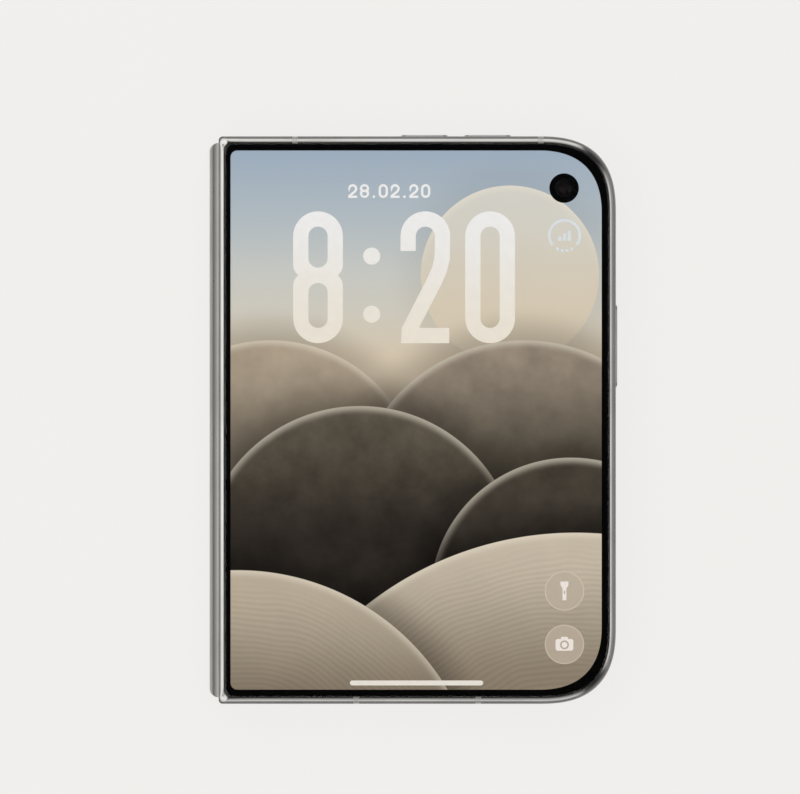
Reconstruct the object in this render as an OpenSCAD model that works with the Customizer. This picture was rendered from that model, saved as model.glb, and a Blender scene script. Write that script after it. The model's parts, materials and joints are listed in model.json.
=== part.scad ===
// Book-style folding phone, shut: two thin halves on a two-axis geared hinge.
// Millimetres, +Z up. The half with the cover screen lies on top, the half with the
// cameras and the keys lies below, and the hinge spine is on the -X side.

/* [Halves] */
// Height of each half, along the fold
body_h = 121; // [110:1:150]
// Width of each half, from its fold end to its free edge
half_w = 84.7; // [76:0.1:100]
// Thickness of each half
half_t = 5.1; // [5:0.1:5.7]
// Gap between the two halves when shut
shut_gap = 0.3; // [0.24:0.02:0.4]
// Corner radius at the free edge
corner_r = 13.2; // [10:0.2:18]
// Corner radius at the fold end
fold_corner_r = 0.9; // [0.5:0.1:1.2]
// Rounding of the outer edge
edge_r = 1.2; // [0.8:0.1:1.4]
// Rounding of the inner rim and of the edges at the fold end
rim_r = 0.4; // [0.35:0.05:0.6]
// Width of the metal band seen around the glass
lip_w = 1.5; // [1.4:0.1:2]
// Width of the metal lip between the fold end and the glass
fold_lip_w = 1.28; // [1:0.1:1.8]
// Thickness of the side wall
wall_t = 2.4; // [2.2:0.1:3]
// Thickness of the middle plate behind the inner screen
midplate_t = 0.4; // [0.3:0.05:0.6]

/* [Glass and screens] */
// Thickness of the cover glass and the back glass
glass_t = 0.5; // [0.45:0.05:0.6]
// Gap around a glass in its seat
glass_gap = 0.05; // [0.02:0.01:0.1]
// Corner radius of the glass at the fold end
glass_fold_r = 1.7; // [0.8:0.1:3]
// Black border between the edge of the glass and the cover screen
border_w = 1.55; // [1:0.05:3]
// Black border at the fold end
fold_border_w = 1.28; // [1:0.05:3]
// Thickness of the cover screen
panel_t = 0.3; // [0.25:0.05:0.35]
// Metal left under the cover screen over the hinge
skin_floor_t = 0.15; // [0.12:0.01:0.2]
// Thickness of the folding inner screen
inner_panel_t = 0.3; // [0.25:0.05:0.35]
// Thickness of the plate behind the inner screen
inner_plate_t = 0.15; // [0.1:0.01:0.2]
// Distance from the outer edge to the inner screen
inner_border_w = 2.4; // [2.2:0.1:3]
// Height of the soft bezel around the inner screen
bezel_t = 0.12; // [0.06:0.01:0.14]
// Width of the soft bezel
bezel_w = 2.1; // [1.9:0.1:2.4]
// Distance from the outer edge to the soft bezel
bezel_in = 0.9; // [0.7:0.05:1.2]

/* [Hinge] */
// How far the spine stands out past the fold end
spine_out = 2; // [1.8:0.1:2.2]
// How much shorter the spine is than the body, at each end
spine_inset = 1.4; // [1.3:0.1:2]
// Gap at the spine's ends and over its round back
spine_gap = 0.1; // [0.06:0.01:0.15]
// Wall of the spine cover
spine_wall = 0.6; // [0.5:0.05:0.7]
// Corner radius of the spine's ends
spine_end_r = 2; // [1.5:0.1:2.1]
// Closed end of the spine cover
spine_cap_t = 1.2; // [1:0.1:1.6]
// Height of each fold axis above the middle of the shut phone
axis_rise = 1.45; // [1.4:0.05:1.55]
// Radius of the hinge pins
pin_r = 0.4; // [0.34:0.02:0.42]
// Running clearance of the pins and idlers
run_gap = 0.02; // [0.01:0.01:0.04]
// Outer radius of the arm hubs
hub_r = 0.7; // [0.66:0.01:0.74]
// Pitch radius of the timing gears
gear_r = 0.65; // [0.62:0.01:0.67]
// Teeth on each timing gear
gear_teeth = 12; // [10:1:14]
// Length of the gears along the fold
gear_l = 1.4; // [1:0.1:1.6]
// Radius of the idler pins
idler_pin_r = 0.22; // [0.18:0.01:0.25]
// Length of each arm along the fold
arm_l = 7; // [5:0.5:9]
// Length of each bearing lug along the fold
lug_l = 2; // [1.5:0.1:3]
// Length of the spring stack along the fold
spring_l = 7; // [5:0.5:9]
// Side play between parts on the pins
side_gap = 0.1; // [0.05:0.01:0.2]
// Distance from the spine's closed end to the hinge module
module_in = 0.5; // [0.3:0.1:6]
// Width of the support strip under the fold
strip_w = 1.2; // [0.8:0.1:1.3]
// Thickness of the support strip
strip_t = 0.2; // [0.15:0.05:0.2]
// Radius of the fold of the inner screen when shut
fold_r = 1.25; // [1.1:0.05:1.3]
// Radius of the sweep from the fold to the flat screen
sweep_r = 4; // [3:0.25:4.5]

/* [Cameras] */
// Distance of the cover camera from the free edge and the top edge
front_cam_in = 11.05; // [10:0.05:16]
// Radius of the hole in the cover screen
front_cam_hole_r = 3.15; // [2.5:0.05:3.5]
// Length of the camera plateau
plateau_l = 46; // [44:1:50]
// Width of the camera plateau
plateau_w = 18; // [17:0.5:20]
// Height of the plateau above the back glass
plateau_h = 1.5; // [1:0.1:2.5]
// Rounding of the plateau's edge
plateau_edge_r = 0.8; // [0.3:0.1:0.9]
// Distance of the plateau from the free edge and the top edge
plateau_in = 4.5; // [4:0.5:8]
// Distance between the two lenses
lens_pitch = 15.5; // [14.5:0.5:17]
// Radius of the lens rings
ring_r = 6.4; // [5.5:0.1:6.8]
// How far the lens rings stand out of the plateau
ring_out = 0.5; // [0.3:0.1:1]
// Wall of the lens rings
ring_wall = 1; // [0.7:0.1:1.4]
// Radius of the inner camera
inner_cam_r = 1.8; // [1.4:0.1:2.4]

/* [Keys and port] */
// Length of each volume key
volume_l = 10; // [8:0.5:11]
// Distance between the middles of the volume keys
volume_pitch = 13.5; // [13:0.5:16]
// Middle of the pair of volume keys, from the free edge
volume_in = 34.05; // [26:0.05:38]
// Length of the power key
power_l = 17.6; // [12:0.1:20]
// Middle of the power key, above the middle of the body
power_y = 15.8; // [-20:0.1:25]
// Width of the keys
key_w = 2.2; // [1.8:0.1:2.4]
// How far the keys stand out
key_out = 0.35; // [0.3:0.05:0.6]
// Travel of the keys
key_travel = 0.25; // [0.15:0.05:0.3]
// Gap around the keys
key_gap = 0.06; // [0.04:0.01:0.1]
// Width of the mouth of the charging port
port_w = 8.34; // [8:0.02:9]
// Height of the mouth of the charging port
port_h = 2.56; // [2.4:0.02:2.6]
// Depth of the charging port
port_depth = 6.8; // [6:0.1:8]
// Wall of the port's metal shell
port_wall = 0.25; // [0.2:0.05:0.35]
// Radius of the sound holes
sound_hole_r = 0.5; // [0.4:0.05:0.55]
// Distance between the sound holes
sound_hole_pitch = 1.7; // [1.5:0.1:1.8]
// Distance of the first sound hole from the mouth of the port
sound_gap = 1.85; // [1.5:0.05:1.9]

/* [Antenna breaks] */
// Width of the plastic breaks in the metal band
break_w = 1.2; // [0.8:0.1:2]
// Distance of the first break in the top edge from the fold end
break_fold_in = 16.3; // [14:0.1:24]
// Distance of the second break in the top edge from the free edge
break_free_in = 16; // [15:0.1:19]
// Distance of the breaks in the bottom edge from the middle of the port
break_port_in = 13; // [12.8:0.1:20]

/* [Inner parts] */
// Gap between loose inner parts
fit_gap = 0.3; // [0.2:0.05:0.5]
// Thickness of the batteries
battery_t = 2.9; // [2:0.1:3]
// Height of the rear battery, along the fold
rear_battery_h = 64; // [40:1:68]
// Height of the front battery, along the fold
front_battery_h = 78.5; // [50:0.5:86]
// Thickness of the circuit boards
board_t = 0.8; // [0.6:0.1:1]
// Height of the shield can
can_h = 1.2; // [0.8:0.1:1.4]
// Outer radius of the charging coil
coil_r = 18; // [12:0.5:22]
// Width of the charging coil's winding
coil_w = 8; // [4:0.5:9]
// Thickness of the charging coil
coil_t = 0.3; // [0.2:0.05:0.4]
// Length of the closing magnets
magnet_l = 14; // [8:1:20]
// Width of the closing magnets
magnet_w = 1.4; // [1:0.1:2]
// Thickness of the closing magnets
magnet_t = 2.2; // [1:0.1:2.8]
// Length of the loudspeaker and of the vibration motor
speaker_l = 15; // [10:0.5:18]
// Height of the loudspeaker, along the fold
speaker_h = 8.7; // [6:0.1:12]
// Thickness of the loudspeaker
speaker_t = 3; // [2:0.1:3.2]
// Height of the vibration motor, along the fold
motor_h = 6.7; // [5:0.1:9]
// Thickness of the vibration motor
motor_t = 2.8; // [2:0.1:3.2]
// Length of the earpiece
earpiece_l = 14; // [8:0.5:20]
// Height of the earpiece, along the fold
earpiece_h = 4.7; // [3:0.1:6]
// Thickness of the earpiece
earpiece_t = 2.4; // [1.5:0.1:3]
// Height of the sub board, along the fold
sub_board_h = 12; // [8:0.5:16]
// Room over the batteries for the earpiece and the cameras
camera_room = 13; // [12.6:0.1:16]

/* [Hidden] */

$fn = 64;
eps = 0.01;
big = 400;

// Heights above the middle of the shut phone, for the front half; the rear half mirrors them.
inner_z = shut_gap / 2;
outer_z = inner_z + half_t;
glass_z = outer_z - glass_t;
panel_z = glass_z - panel_t;
skin_z = panel_z - skin_floor_t;
plate_z = inner_z + inner_panel_t;
pocket_z = plate_z + inner_plate_t;
bay_z = pocket_z + midplate_t;
half_mid_z = (inner_z + outer_z) / 2;

half_h = body_h / 2;

// Spine and axes. x = 0 is the fold end of both halves.
spine_r = skin_z - spine_gap - axis_rise;
axis_x = spine_r - spine_out;
spine_in_r = spine_r - spine_wall;
spine_half_l = half_h - spine_inset;
end_wall_t = spine_inset - spine_gap;
hinge_half_l = half_h - end_wall_t;

// Room for the hinge and for the fold of the screen
hinge_room_x = axis_x + spine_r + spine_gap;
partition_t = 1;
partition_x = hinge_room_x + partition_t;
fold_outer_r = fold_r + inner_panel_t / 2;
fold_room_z = fold_outer_r - 0.05;

// Fold of the inner screen: a round end and two sweeps into the flat halves
strip_x = axis_x + 0.5;
fold_tip_x = strip_x + strip_t + 0.12;
fold_mid_z = inner_z + inner_panel_t / 2;
fold_x = fold_tip_x + fold_outer_r;
flat_x = fold_x + sqrt(pow(fold_r + sweep_r, 2) - pow(fold_mid_z + sweep_r, 2));

// Arms: a thin bar from the hub to a foot that is screwed to a shoulder of the frame
bar_z0 = axis_rise + 0.35;
bar_t = 0.35;
foot_t = 0.8;
foot_x0 = hinge_room_x + 0.1;
foot_x1 = flat_x + 3.5;
shoulder_z0 = fold_room_z + 0.02;
shoulder_x = foot_x1 + 0.3;
screw_r = 0.35;
screw_head_r = 0.7;
screw_head_t = 0.35;
screw_l = 1.3;
screw_x = flat_x + 1.6;

// Hinge module along the fold, measured inwards from the spine's closed end
cap_y = spine_half_l - spine_cap_t;
mod_y = cap_y - module_in;
gear_v = lug_l + side_gap;
arm_v = gear_v + gear_l;
lug_b_v = arm_v + arm_l + side_gap;
spring_v = lug_b_v + lug_l + side_gap;
lug_c_v = spring_v + spring_l + side_gap;
mod_l = lug_c_v + lug_l;
bed_x = axis_x - hub_r - 0.08;

// Timing gears
gear_pitch = 360 / gear_teeth;
gear_m = 2 * gear_r / gear_teeth;
gear_tip_r = gear_r + 0.68 * gear_m;
gear_root_r = gear_r - 1.05 * gear_m;
idler_z = gear_r + 0.005;
idler_x = axis_x - sqrt(pow(2 * gear_r + 0.01, 2) - pow(axis_rise - idler_z, 2));
idler_dir = atan2(idler_z - axis_rise, idler_x - axis_x);
// Tooth angles: each gear has a gap where its neighbour has a tooth
function mesh_phase(phase, dir) = dir + 180 - (phase - dir) + gear_pitch / 2;
hub_phase_front = idler_dir;
idler_phase_front = mesh_phase(hub_phase_front, idler_dir);
idler_phase_rear = mesh_phase(idler_phase_front, -90);
hub_phase_rear = mesh_phase(idler_phase_rear, -180 - idler_dir + 180);

// Bay for batteries and boards
bay_x0 = partition_x;
bay_x1 = half_w - wall_t;
bay_y = half_h - wall_t;
inner_x = shoulder_x + fit_gap;

// Cameras
plateau_x = half_w - plateau_in - plateau_l / 2;
plateau_y = half_h - plateau_in - plateau_w / 2;
lens_x1 = plateau_x + plateau_l / 2 - plateau_w / 2;
lens_x2 = lens_x1 - lens_pitch;
flash_x = plateau_x - plateau_l / 2 + plateau_w / 2 - 1;
flash_r = 2.2;
flange_w = 0.8;
flange_t = 0.4;
lens_glass_t = 0.8;
lens_glass_in = 0.2;
camera_y0 = plateau_y - plateau_w / 2 - flange_w;
front_cam_x = half_w - front_cam_in;
front_cam_y = half_h - front_cam_in;
front_barrel_r = front_cam_hole_r - 0.3;
inner_cam_x = inner_x + 4;
inner_cam_y = half_h - wall_t - 5.5;
inner_cam_h = 3;

// Keys
key_flange_t = 0.4;
key_flange_w = 0.5;
key_seat_w = key_w + 2 * key_flange_w;
key_recess = wall_t - 0.7;
switch_dome_t = 0.2;
switch_plate_t = 0.2;
switch_l = 4.4;
switch_w = 2;
dome_r = 0.8;
volume_up_x = half_w - volume_in - volume_pitch / 2;
volume_down_x = half_w - volume_in + volume_pitch / 2;

// Port and sound holes in the bottom edge of the rear half
port_x = half_w / 2;
port_recess = 0.3;
tongue_w = 6.7;
tongue_t = 0.7;
tongue_l = 4.5;
sound_x = port_w / 2 + sound_gap;
sound_n = 4;
speaker_x = port_w / 2 + 1;
bottom_y = -bay_y + fit_gap;
connector_l = 12;
connector_w = 4;
connector_t = 1;
can_in = 2;
board_in = 2.7;
coil_in = 12;

// The origin is the middle of the footprint, on the surface that the phone lies on
mid_x = (half_w + key_out - spine_out) / 2;
mid_y = key_out / 2;
mid_z = outer_z + plateau_h + ring_out;

module place() translate([-mid_x, -mid_y, mid_z]) children();
module rear_side() mirror([0, 0, 1]) children();
module both_ends() for (s = [0, 1]) mirror([0, s, 0]) children();

// A flat shape in X and Z, extruded along Y from y0 to y1
module along_y(y0, y1) translate([0, y1, 0]) rotate([90, 0, 0]) linear_extrude(y1 - y0) children();
// A flat shape in Y and Z, extruded along X from x0 to x1
module along_x(x0, x1) translate([x0, 0, 0]) rotate([90, 0, 90]) linear_extrude(x1 - x0) children();
module block(x0, x1, y0, y1, z0, z1) translate([x0, y0, z0]) cube([x1 - x0, y1 - y0, z1 - z0]);
module rod(x, z, y0, y1, r) along_y(y0, y1) translate([x, z]) circle(r);

// ---- outlines of a half ----

// Outline with small corners at the fold end and large ones at the free edge
module outline(x0, x1, y, fold_r, free_r) {
    translate([x0 + fold_r, -y]) square([x1 - free_r - x0 - fold_r, 2 * y]);
    translate([x0, -y + fold_r]) square([fold_r + eps, 2 * (y - fold_r)]);
    translate([x1 - free_r - eps, -y + free_r]) square([free_r + eps, 2 * (y - free_r)]);
    for (s = [-1, 1]) {
        translate([x0 + fold_r, s * (y - fold_r)]) circle(fold_r);
        translate([x1 - free_r, s * (y - free_r)]) circle(free_r);
    }
}
module plate(x0, inset, fold_r, z0, z1)
    translate([0, 0, z0]) linear_extrude(z1 - z0)
        outline(x0, half_w - inset, half_h - inset, fold_r, corner_r - inset);

// Section of the outer edge: w wide, with the outer edge and the inner rim rounded
module edge_section(w) {
    translate([0, inner_z]) square([w - edge_r, half_t]);
    translate([w - edge_r - eps, inner_z + rim_r]) square([edge_r + eps, half_t - edge_r - rim_r]);
    translate([w - edge_r - eps, inner_z]) square([edge_r - rim_r + eps, half_t / 2]);
    translate([w - edge_r, outer_z - edge_r]) circle(edge_r);
    translate([w - rim_r, inner_z + rim_r]) circle(rim_r);
}
module edge_bar(l) translate([0, l, 0]) rotate([90, 0, 0]) linear_extrude(l) edge_section(corner_r);
module round_off(r) difference() {
    translate([-1, -1]) square([r + 1, r + 1]);
    translate([r, r]) circle(r);
}
// Full block of the front half, with rounded edges and corners
module half_blank() {
    cx = half_w - corner_r;
    cy = half_h - corner_r;
    difference() {
        union() {
            block(0, cx, -cy, cy, inner_z, outer_z);
            translate([cx, -cy, 0]) edge_bar(2 * cy);
            translate([cx, cy, 0]) rotate([0, 0, 90]) edge_bar(cx);
            translate([0, -cy, 0]) rotate([0, 0, -90]) edge_bar(cx);
            translate([cx, cy, 0]) rotate_extrude(angle = 90) edge_section(corner_r);
            translate([cx, -cy, 0]) rotate([0, 0, -90]) rotate_extrude(angle = 90) edge_section(corner_r);
        }
        along_y(-half_h - 1, half_h + 1) translate([0, inner_z]) round_off(rim_r);
        along_y(-half_h - 1, half_h + 1) translate([0, outer_z]) mirror([0, 1]) round_off(rim_r);
        both_ends() translate([0, half_h, 0]) mirror([0, 1, 0]) linear_extrude(outer_z + 1)
            round_off(fold_corner_r);
    }
}

// Front or rear half's shell without its own openings
module shell() {
    difference() {
        half_blank();
        // seat of the glass
        plate(fold_lip_w, lip_w, glass_fold_r, glass_z, outer_z + 1);
        // seat of the screen over the hinge
        translate([0, 0, panel_z]) linear_extrude(panel_t + 1)
            outline(fold_lip_w + fold_border_w - fit_gap / 2, bay_x1 - 1, bay_y - 0.4, glass_fold_r, 8);
        // bay, with a raised floor next to the hinge
        translate([0, 0, bay_z]) linear_extrude(outer_z)
            outline(shoulder_x, bay_x1, bay_y, 0.5, corner_r - wall_t);
        block(bay_x0, shoulder_x + 1, -bay_y, bay_y, bar_z0, outer_z + 1);
        // room for the hinge and for the fold of the screen
        block(-1, hinge_room_x, -hinge_half_l, hinge_half_l, 0, skin_z);
        block(-1, flat_x, -hinge_half_l, hinge_half_l, 0, fold_room_z);
        // pocket of the inner screen
        translate([0, 0, -1]) linear_extrude(pocket_z + 1)
            outline(flat_x - 1, half_w - inner_border_w, half_h - inner_border_w, 0.5, corner_r - inner_border_w);
        // windows for the arms
        both_ends() arm_window();
        both_ends() arm_screw_holes();
        // breaks for the antennas
        breaks();
    }
}
module arm_window()
    block(hinge_room_x - 1, bay_x0 + 1, mod_y - arm_v - arm_l - 0.1, mod_y - arm_v + 0.1,
          bar_z0, bar_z0 + foot_t + 0.1);
module arm_screw_places()
    for (v = [arm_v + 1.6, arm_v + arm_l - 1.6]) translate([screw_x, mod_y - v, 0]) children();
module arm_screw_holes()
    arm_screw_places() translate([0, 0, bar_z0 + foot_t - screw_l - 0.1]) cylinder(r = screw_r, h = screw_l + 1);

break_places = [[break_fold_in, 1], [half_w - break_free_in, 1],
                [port_x - break_port_in, -1], [port_x + break_port_in, -1]];
module breaks()
    for (b = break_places) translate([b[0], 0, 0]) mirror([0, b[1] > 0 ? 0 : 1, 0])
        block(-break_w / 2, break_w / 2, bay_y - eps, half_h + 1, 0, big);
module break_inserts() {
    intersection() {
        difference() {
            half_blank();
            plate(fold_lip_w, lip_w, glass_fold_r, glass_z, outer_z + 1);
            translate([0, 0, -1]) linear_extrude(pocket_z + 1)
                outline(flat_x - 1, half_w - inner_border_w, half_h - inner_border_w, 0.5, corner_r - inner_border_w);
        }
        breaks();
    }
}

// ---- front half: cover screen ----

module front_frame() place() color("#b9b9b5") difference() {
    shell();
    inner_cam_bore(fit_gap / 2);
}
module cover_glass() place() color([0.1, 0.11, 0.12, 0.45])
    plate(fold_lip_w + glass_gap, lip_w + glass_gap, glass_fold_r - glass_gap, glass_z, outer_z);
module screen_outline(grow)
    outline(fold_lip_w + fold_border_w - grow, half_w - lip_w - border_w + grow,
            half_h - lip_w - border_w + grow, glass_fold_r - 0.2, corner_r - lip_w - border_w + grow);
module cover_screen() place() color("#8d8778")
    translate([0, 0, panel_z]) linear_extrude(panel_t) difference() {
        screen_outline(0);
        translate([front_cam_x, front_cam_y]) circle(front_cam_hole_r);
    }
module cover_camera() place() color("#16151a") {
    translate([front_cam_x, front_cam_y, bay_z]) difference() {
        union() {
            cylinder(r = front_barrel_r, h = glass_z - bay_z);
            cylinder(r = front_barrel_r + 1, h = 1.6);
        }
        translate([0, 0, glass_z - bay_z - 0.6]) cylinder(r1 = 0.9, r2 = front_barrel_r - 0.5, h = 0.6 + eps);
    }
}
module inner_camera() place() color("#16151a") {
    translate([inner_cam_x, inner_cam_y, plate_z - 0.1]) cylinder(r = inner_cam_r, h = inner_cam_h);
    translate([inner_cam_x, inner_cam_y, bay_z]) cylinder(r = inner_cam_r + 0.9, h = 1.2);
}
module inner_cam_bore(gap)
    translate([inner_cam_x, inner_cam_y, -1]) cylinder(r = inner_cam_r + gap, h = bay_z + 2);
module earpiece() place() color("#2b2c2e")
    block((half_w - earpiece_l) / 2, (half_w + earpiece_l) / 2, bay_y - fit_gap - earpiece_h, bay_y - fit_gap,
          bay_z, bay_z + earpiece_t);
magnet_x = bay_x1 - switch_plate_t - fit_gap - magnet_w;
battery_x1 = magnet_x - fit_gap;
module front_battery() place() color("#303235")
    block(inner_x, battery_x1, bay_y - camera_room - front_battery_h, bay_y - camera_room,
          bay_z, bay_z + battery_t);
module sub_board() place() color("#1f5a3c") {
    block(inner_x, battery_x1 - corner_r + wall_t, bottom_y, bottom_y + sub_board_h, bay_z, bay_z + board_t);
    translate([inner_x + connector_l / 2, bottom_y + connector_w / 2, bay_z + board_t])
        cube([connector_l, connector_w, connector_t]);
}
module front_antenna_breaks() place() color("#d8d7d2") break_inserts();
module magnets() for (y = [-magnet_l, magnet_l])
    block(magnet_x, magnet_x + magnet_w, y - magnet_l / 2, y + magnet_l / 2, bay_z, bay_z + magnet_t);
module front_magnets() place() color("#8f9194") magnets();
module inner_plate()
    translate([0, 0, plate_z]) linear_extrude(inner_plate_t)
        outline(flat_x + 0.2, half_w - inner_border_w - fit_gap / 2, half_h - inner_border_w - fit_gap / 2,
                0.5, corner_r - inner_border_w);
module inner_screen()
    translate([0, 0, inner_z]) linear_extrude(inner_panel_t)
        outline(flat_x, half_w - inner_border_w - fit_gap / 2, half_h - inner_border_w - fit_gap / 2,
                0.3, corner_r - inner_border_w);
module front_inner_plate() place() color("#77797c") difference() {
    inner_plate();
    inner_cam_bore(0.05);
}
module inner_screen_front() place() color("#6f6a60") difference() {
    inner_screen();
    translate([inner_cam_x, inner_cam_y, -1]) cylinder(r = inner_cam_r + 0.3, h = bay_z + 2);
}
// Soft bezel: a flat band on three sides, open at the fold
bezel_x0 = fold_tip_x + inner_panel_t + 0.1;
module bezel()
    translate([0, 0, inner_z - bezel_t]) linear_extrude(bezel_t) difference() {
        outline(bezel_x0, half_w - bezel_in, half_h - bezel_in, 0.2, corner_r - bezel_in);
        outline(bezel_x0 - 2, half_w - bezel_in - bezel_w, half_h - bezel_in - bezel_w, 0.2,
                corner_r - bezel_in - bezel_w);
    }
module front_bezel() place() color("#1d1d1f") bezel();

// ---- rear half: cameras, keys and port ----

module rear_frame() place() color("#b9b9b5") difference() {
    rear_side() shell();
    for (x = [volume_up_x, volume_down_x]) translate([x, half_h, -half_mid_z]) top_key_hole(volume_l);
    translate([half_w, power_y, -half_mid_z]) rotate([0, 0, -90]) top_key_hole(power_l);
    // mouth of the port
    translate([port_x, 0, -half_mid_z])
        pill_y(-half_h - 1, -bay_y + 1, port_w + 2 * (port_wall + 0.02), port_h + 2 * (port_wall + 0.02));
    // sound holes
    for (i = [0 : sound_n - 1]) for (s = [-1, 1])
        rod(port_x + s * (sound_x + i * sound_hole_pitch), -half_mid_z, -half_h - 1, -bay_y + 1, sound_hole_r);
}
// A pill in X and Z, extruded along Y
module pill_y(y0, y1, w, h) along_y(y0, y1) pill(w, h);
module pill(w, h) {
    square([w - h, h], center = true);
    for (s = [-1, 1]) translate([s * (w - h) / 2, 0]) circle(h / 2);
}
// Key hole through the wall of the top edge, with a wider seat inside for the key's flange
module top_key_hole(l) {
    pill_y(-wall_t - 1, 1, l + 2 * key_gap, key_w + 2 * key_gap);
    pill_y(-wall_t - 1, -wall_t + key_recess, l + 2 * key_flange_w + 2 * key_gap,
           key_seat_w + 2 * key_gap);
}
key_inner_y = -wall_t + key_recess - key_flange_t;
module key(l) {
    difference() {
        pill_y(key_inner_y + eps, key_out, l, key_w);
        // small round-off at the touch face
        for (s = [-1, 1])
            along_x(-l, l) translate([key_out, s * key_w / 2]) rotate([0, 0, 45]) square(0.25, center = true);
    }
    pill_y(key_inner_y, key_inner_y + key_flange_t, l + 2 * key_flange_w, key_seat_w);
}
module volume_up_key() place() color("#c4c4c0") translate([volume_up_x, half_h, -half_mid_z]) key(volume_l);
module volume_down_key() place() color("#c4c4c0") translate([volume_down_x, half_h, -half_mid_z]) key(volume_l);
module power_key() place() color("#c4c4c0")
    translate([half_w, power_y, -half_mid_z]) rotate([0, 0, -90]) key(power_l);
// Dome switches behind the keys, each on a plate that lies against the inner side of the wall
switch_top_y = key_inner_y - key_travel - 0.05;
module switch_body() {
    block(-switch_l / 2 - 0.6, switch_l / 2 + 0.6, -wall_t - switch_plate_t, -wall_t,
          -key_seat_w / 2 - 0.2, key_seat_w / 2 - 0.1);
    block(-switch_l / 2, switch_l / 2, -wall_t - eps, switch_top_y - switch_dome_t, -switch_w / 2, switch_w / 2);
    along_y(switch_top_y - switch_dome_t - eps, switch_top_y) circle(dome_r);
}
module key_switches() place() color("#3a3c40") {
    for (x = [volume_up_x, volume_down_x]) translate([x, half_h, -half_mid_z]) switch_body();
    translate([half_w, power_y, -half_mid_z]) rotate([0, 0, -90]) switch_body();
}

// A pill in X and Y, extruded along Z, with its lower edge rounded
module pill_plate(l, w, h, r) {
    module section() {
        translate([0, r]) square([w / 2, h - r]);
        square([w / 2 - r, h]);
        translate([w / 2 - r, r]) circle(r);
    }
    for (s = [0, 1]) mirror([s, 0, 0]) translate([(l - w) / 2, 0, 0])
        rotate([0, 0, -90]) rotate_extrude(angle = 180) section();
    for (s = [0, 1]) mirror([0, s, 0]) along_x(-(l - w) / 2, (l - w) / 2) section();
}
module back_glass() place() color("#e4e3df") difference() {
    rear_side() plate(fold_lip_w + glass_gap, lip_w + glass_gap, glass_fold_r - glass_gap, glass_z, outer_z);
    translate([plateau_x, plateau_y, -outer_z - 1]) linear_extrude(3)
        pill(plateau_l + 2 * glass_gap, plateau_w + 2 * glass_gap);
}
ring_z = -outer_z - plateau_h - ring_out;
ring_seat_z = -glass_z + 0.2;
module camera_plateau() place() color("#c9c8c4") difference() {
    union() {
        translate([plateau_x, plateau_y, -outer_z - plateau_h])
            pill_plate(plateau_l, plateau_w, plateau_h + glass_t + flange_t, plateau_edge_r);
        translate([plateau_x, plateau_y, -glass_z]) linear_extrude(flange_t)
            pill(plateau_l + 2 * flange_w, plateau_w + 2 * flange_w);
    }
    for (x = [lens_x1, lens_x2]) translate([x, plateau_y, ring_z]) cylinder(r = ring_r, h = 4 + plateau_h);
    translate([flash_x, plateau_y, ring_z]) cylinder(r = flash_r, h = 4 + plateau_h);
}
module lens_rings() place() color("#9b9b98") for (x = [lens_x1, lens_x2])
    translate([x, plateau_y, ring_z]) difference() {
        cylinder(r = ring_r, h = ring_seat_z - ring_z);
        translate([0, 0, -1]) cylinder(r = ring_r - ring_wall, h = 10);
    }
module lens_glasses() place() color("#101114") for (x = [lens_x1, lens_x2])
    translate([x, plateau_y, ring_z + lens_glass_in]) cylinder(r = ring_r - ring_wall, h = lens_glass_t);
module camera_modules() place() color("#1b1c1f") for (x = [lens_x1, lens_x2]) {
    translate([x, plateau_y, ring_z + lens_glass_in + lens_glass_t])
        cylinder(r = ring_r - ring_wall - 0.4, h = -bay_z - ring_z - lens_glass_in - lens_glass_t);
    translate([x, plateau_y, 0]) block(-ring_r, ring_r, -ring_r, ring_r, ring_seat_z + fit_gap, -bay_z);
}
module flash_lens() place() color("#f3e9c6") translate([flash_x, plateau_y, -outer_z - plateau_h])
    cylinder(r = flash_r, h = 1);
board_x1 = lens_x2 - ring_r - fit_gap - 0.2;
board_y0 = camera_y0 - 1;
module main_board() place() color("#1f5a3c") rear_side()
    block(inner_x, board_x1, board_y0, bay_y - fit_gap - board_in, bay_z, bay_z + board_t);
module shield_can() place() color("#a9abad") rear_side()
    block(inner_x + can_in, board_x1 - 2 * can_in, board_y0 + can_in, bay_y - fit_gap - board_in - can_in,
          bay_z + board_t, bay_z + board_t + can_h);
module rear_battery() place() color("#303235") rear_side()
    block(inner_x, battery_x1, board_y0 - fit_gap - rear_battery_h, board_y0 - fit_gap, bay_z, bay_z + battery_t);
module charging_coil() place() color("#a5623a") rear_side()
    translate([(inner_x + battery_x1) / 2, board_y0 - coil_in - coil_r, glass_z - coil_t]) difference() {
        cylinder(r = coil_r, h = coil_t);
        translate([0, 0, -1]) cylinder(r = coil_r - coil_w, h = 3);
    }
module port_shell() place() color("#a9abad") translate([port_x, 0, -half_mid_z]) difference() {
    pill_y(-half_h + port_recess, -half_h + port_recess + port_depth + 0.4, port_w + 2 * port_wall, port_h + 2 * port_wall);
    pill_y(-half_h - 1, -half_h + port_recess + port_depth, port_w, port_h);
}
module port_tongue() place() color("#2a2b2d")
    translate([port_x, -half_h + port_recess + port_depth - tongue_l, -half_mid_z - tongue_t / 2])
        translate([-tongue_w / 2, 0, 0]) cube([tongue_w, tongue_l, tongue_t]);
module loudspeaker() place() color("#2b2c2e") rear_side()
    block(port_x + speaker_x, port_x + speaker_x + speaker_l, bottom_y, bottom_y + speaker_h,
          bay_z, bay_z + speaker_t);
module vibration_motor() place() color("#8f9194") rear_side()
    block(port_x - speaker_x - speaker_l, port_x - speaker_x, bottom_y, bottom_y + motor_h,
          bay_z, bay_z + motor_t);
module rear_antenna_breaks() place() color("#d8d7d2") rear_side() break_inserts();
module rear_magnets() place() color("#8f9194") rear_side() magnets();
module rear_inner_plate() place() color("#77797c") rear_side() inner_plate();
module inner_screen_rear() place() color("#6f6a60") rear_side() inner_screen();
module rear_bezel() place() color("#1d1d1f") rear_side() bezel();

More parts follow.
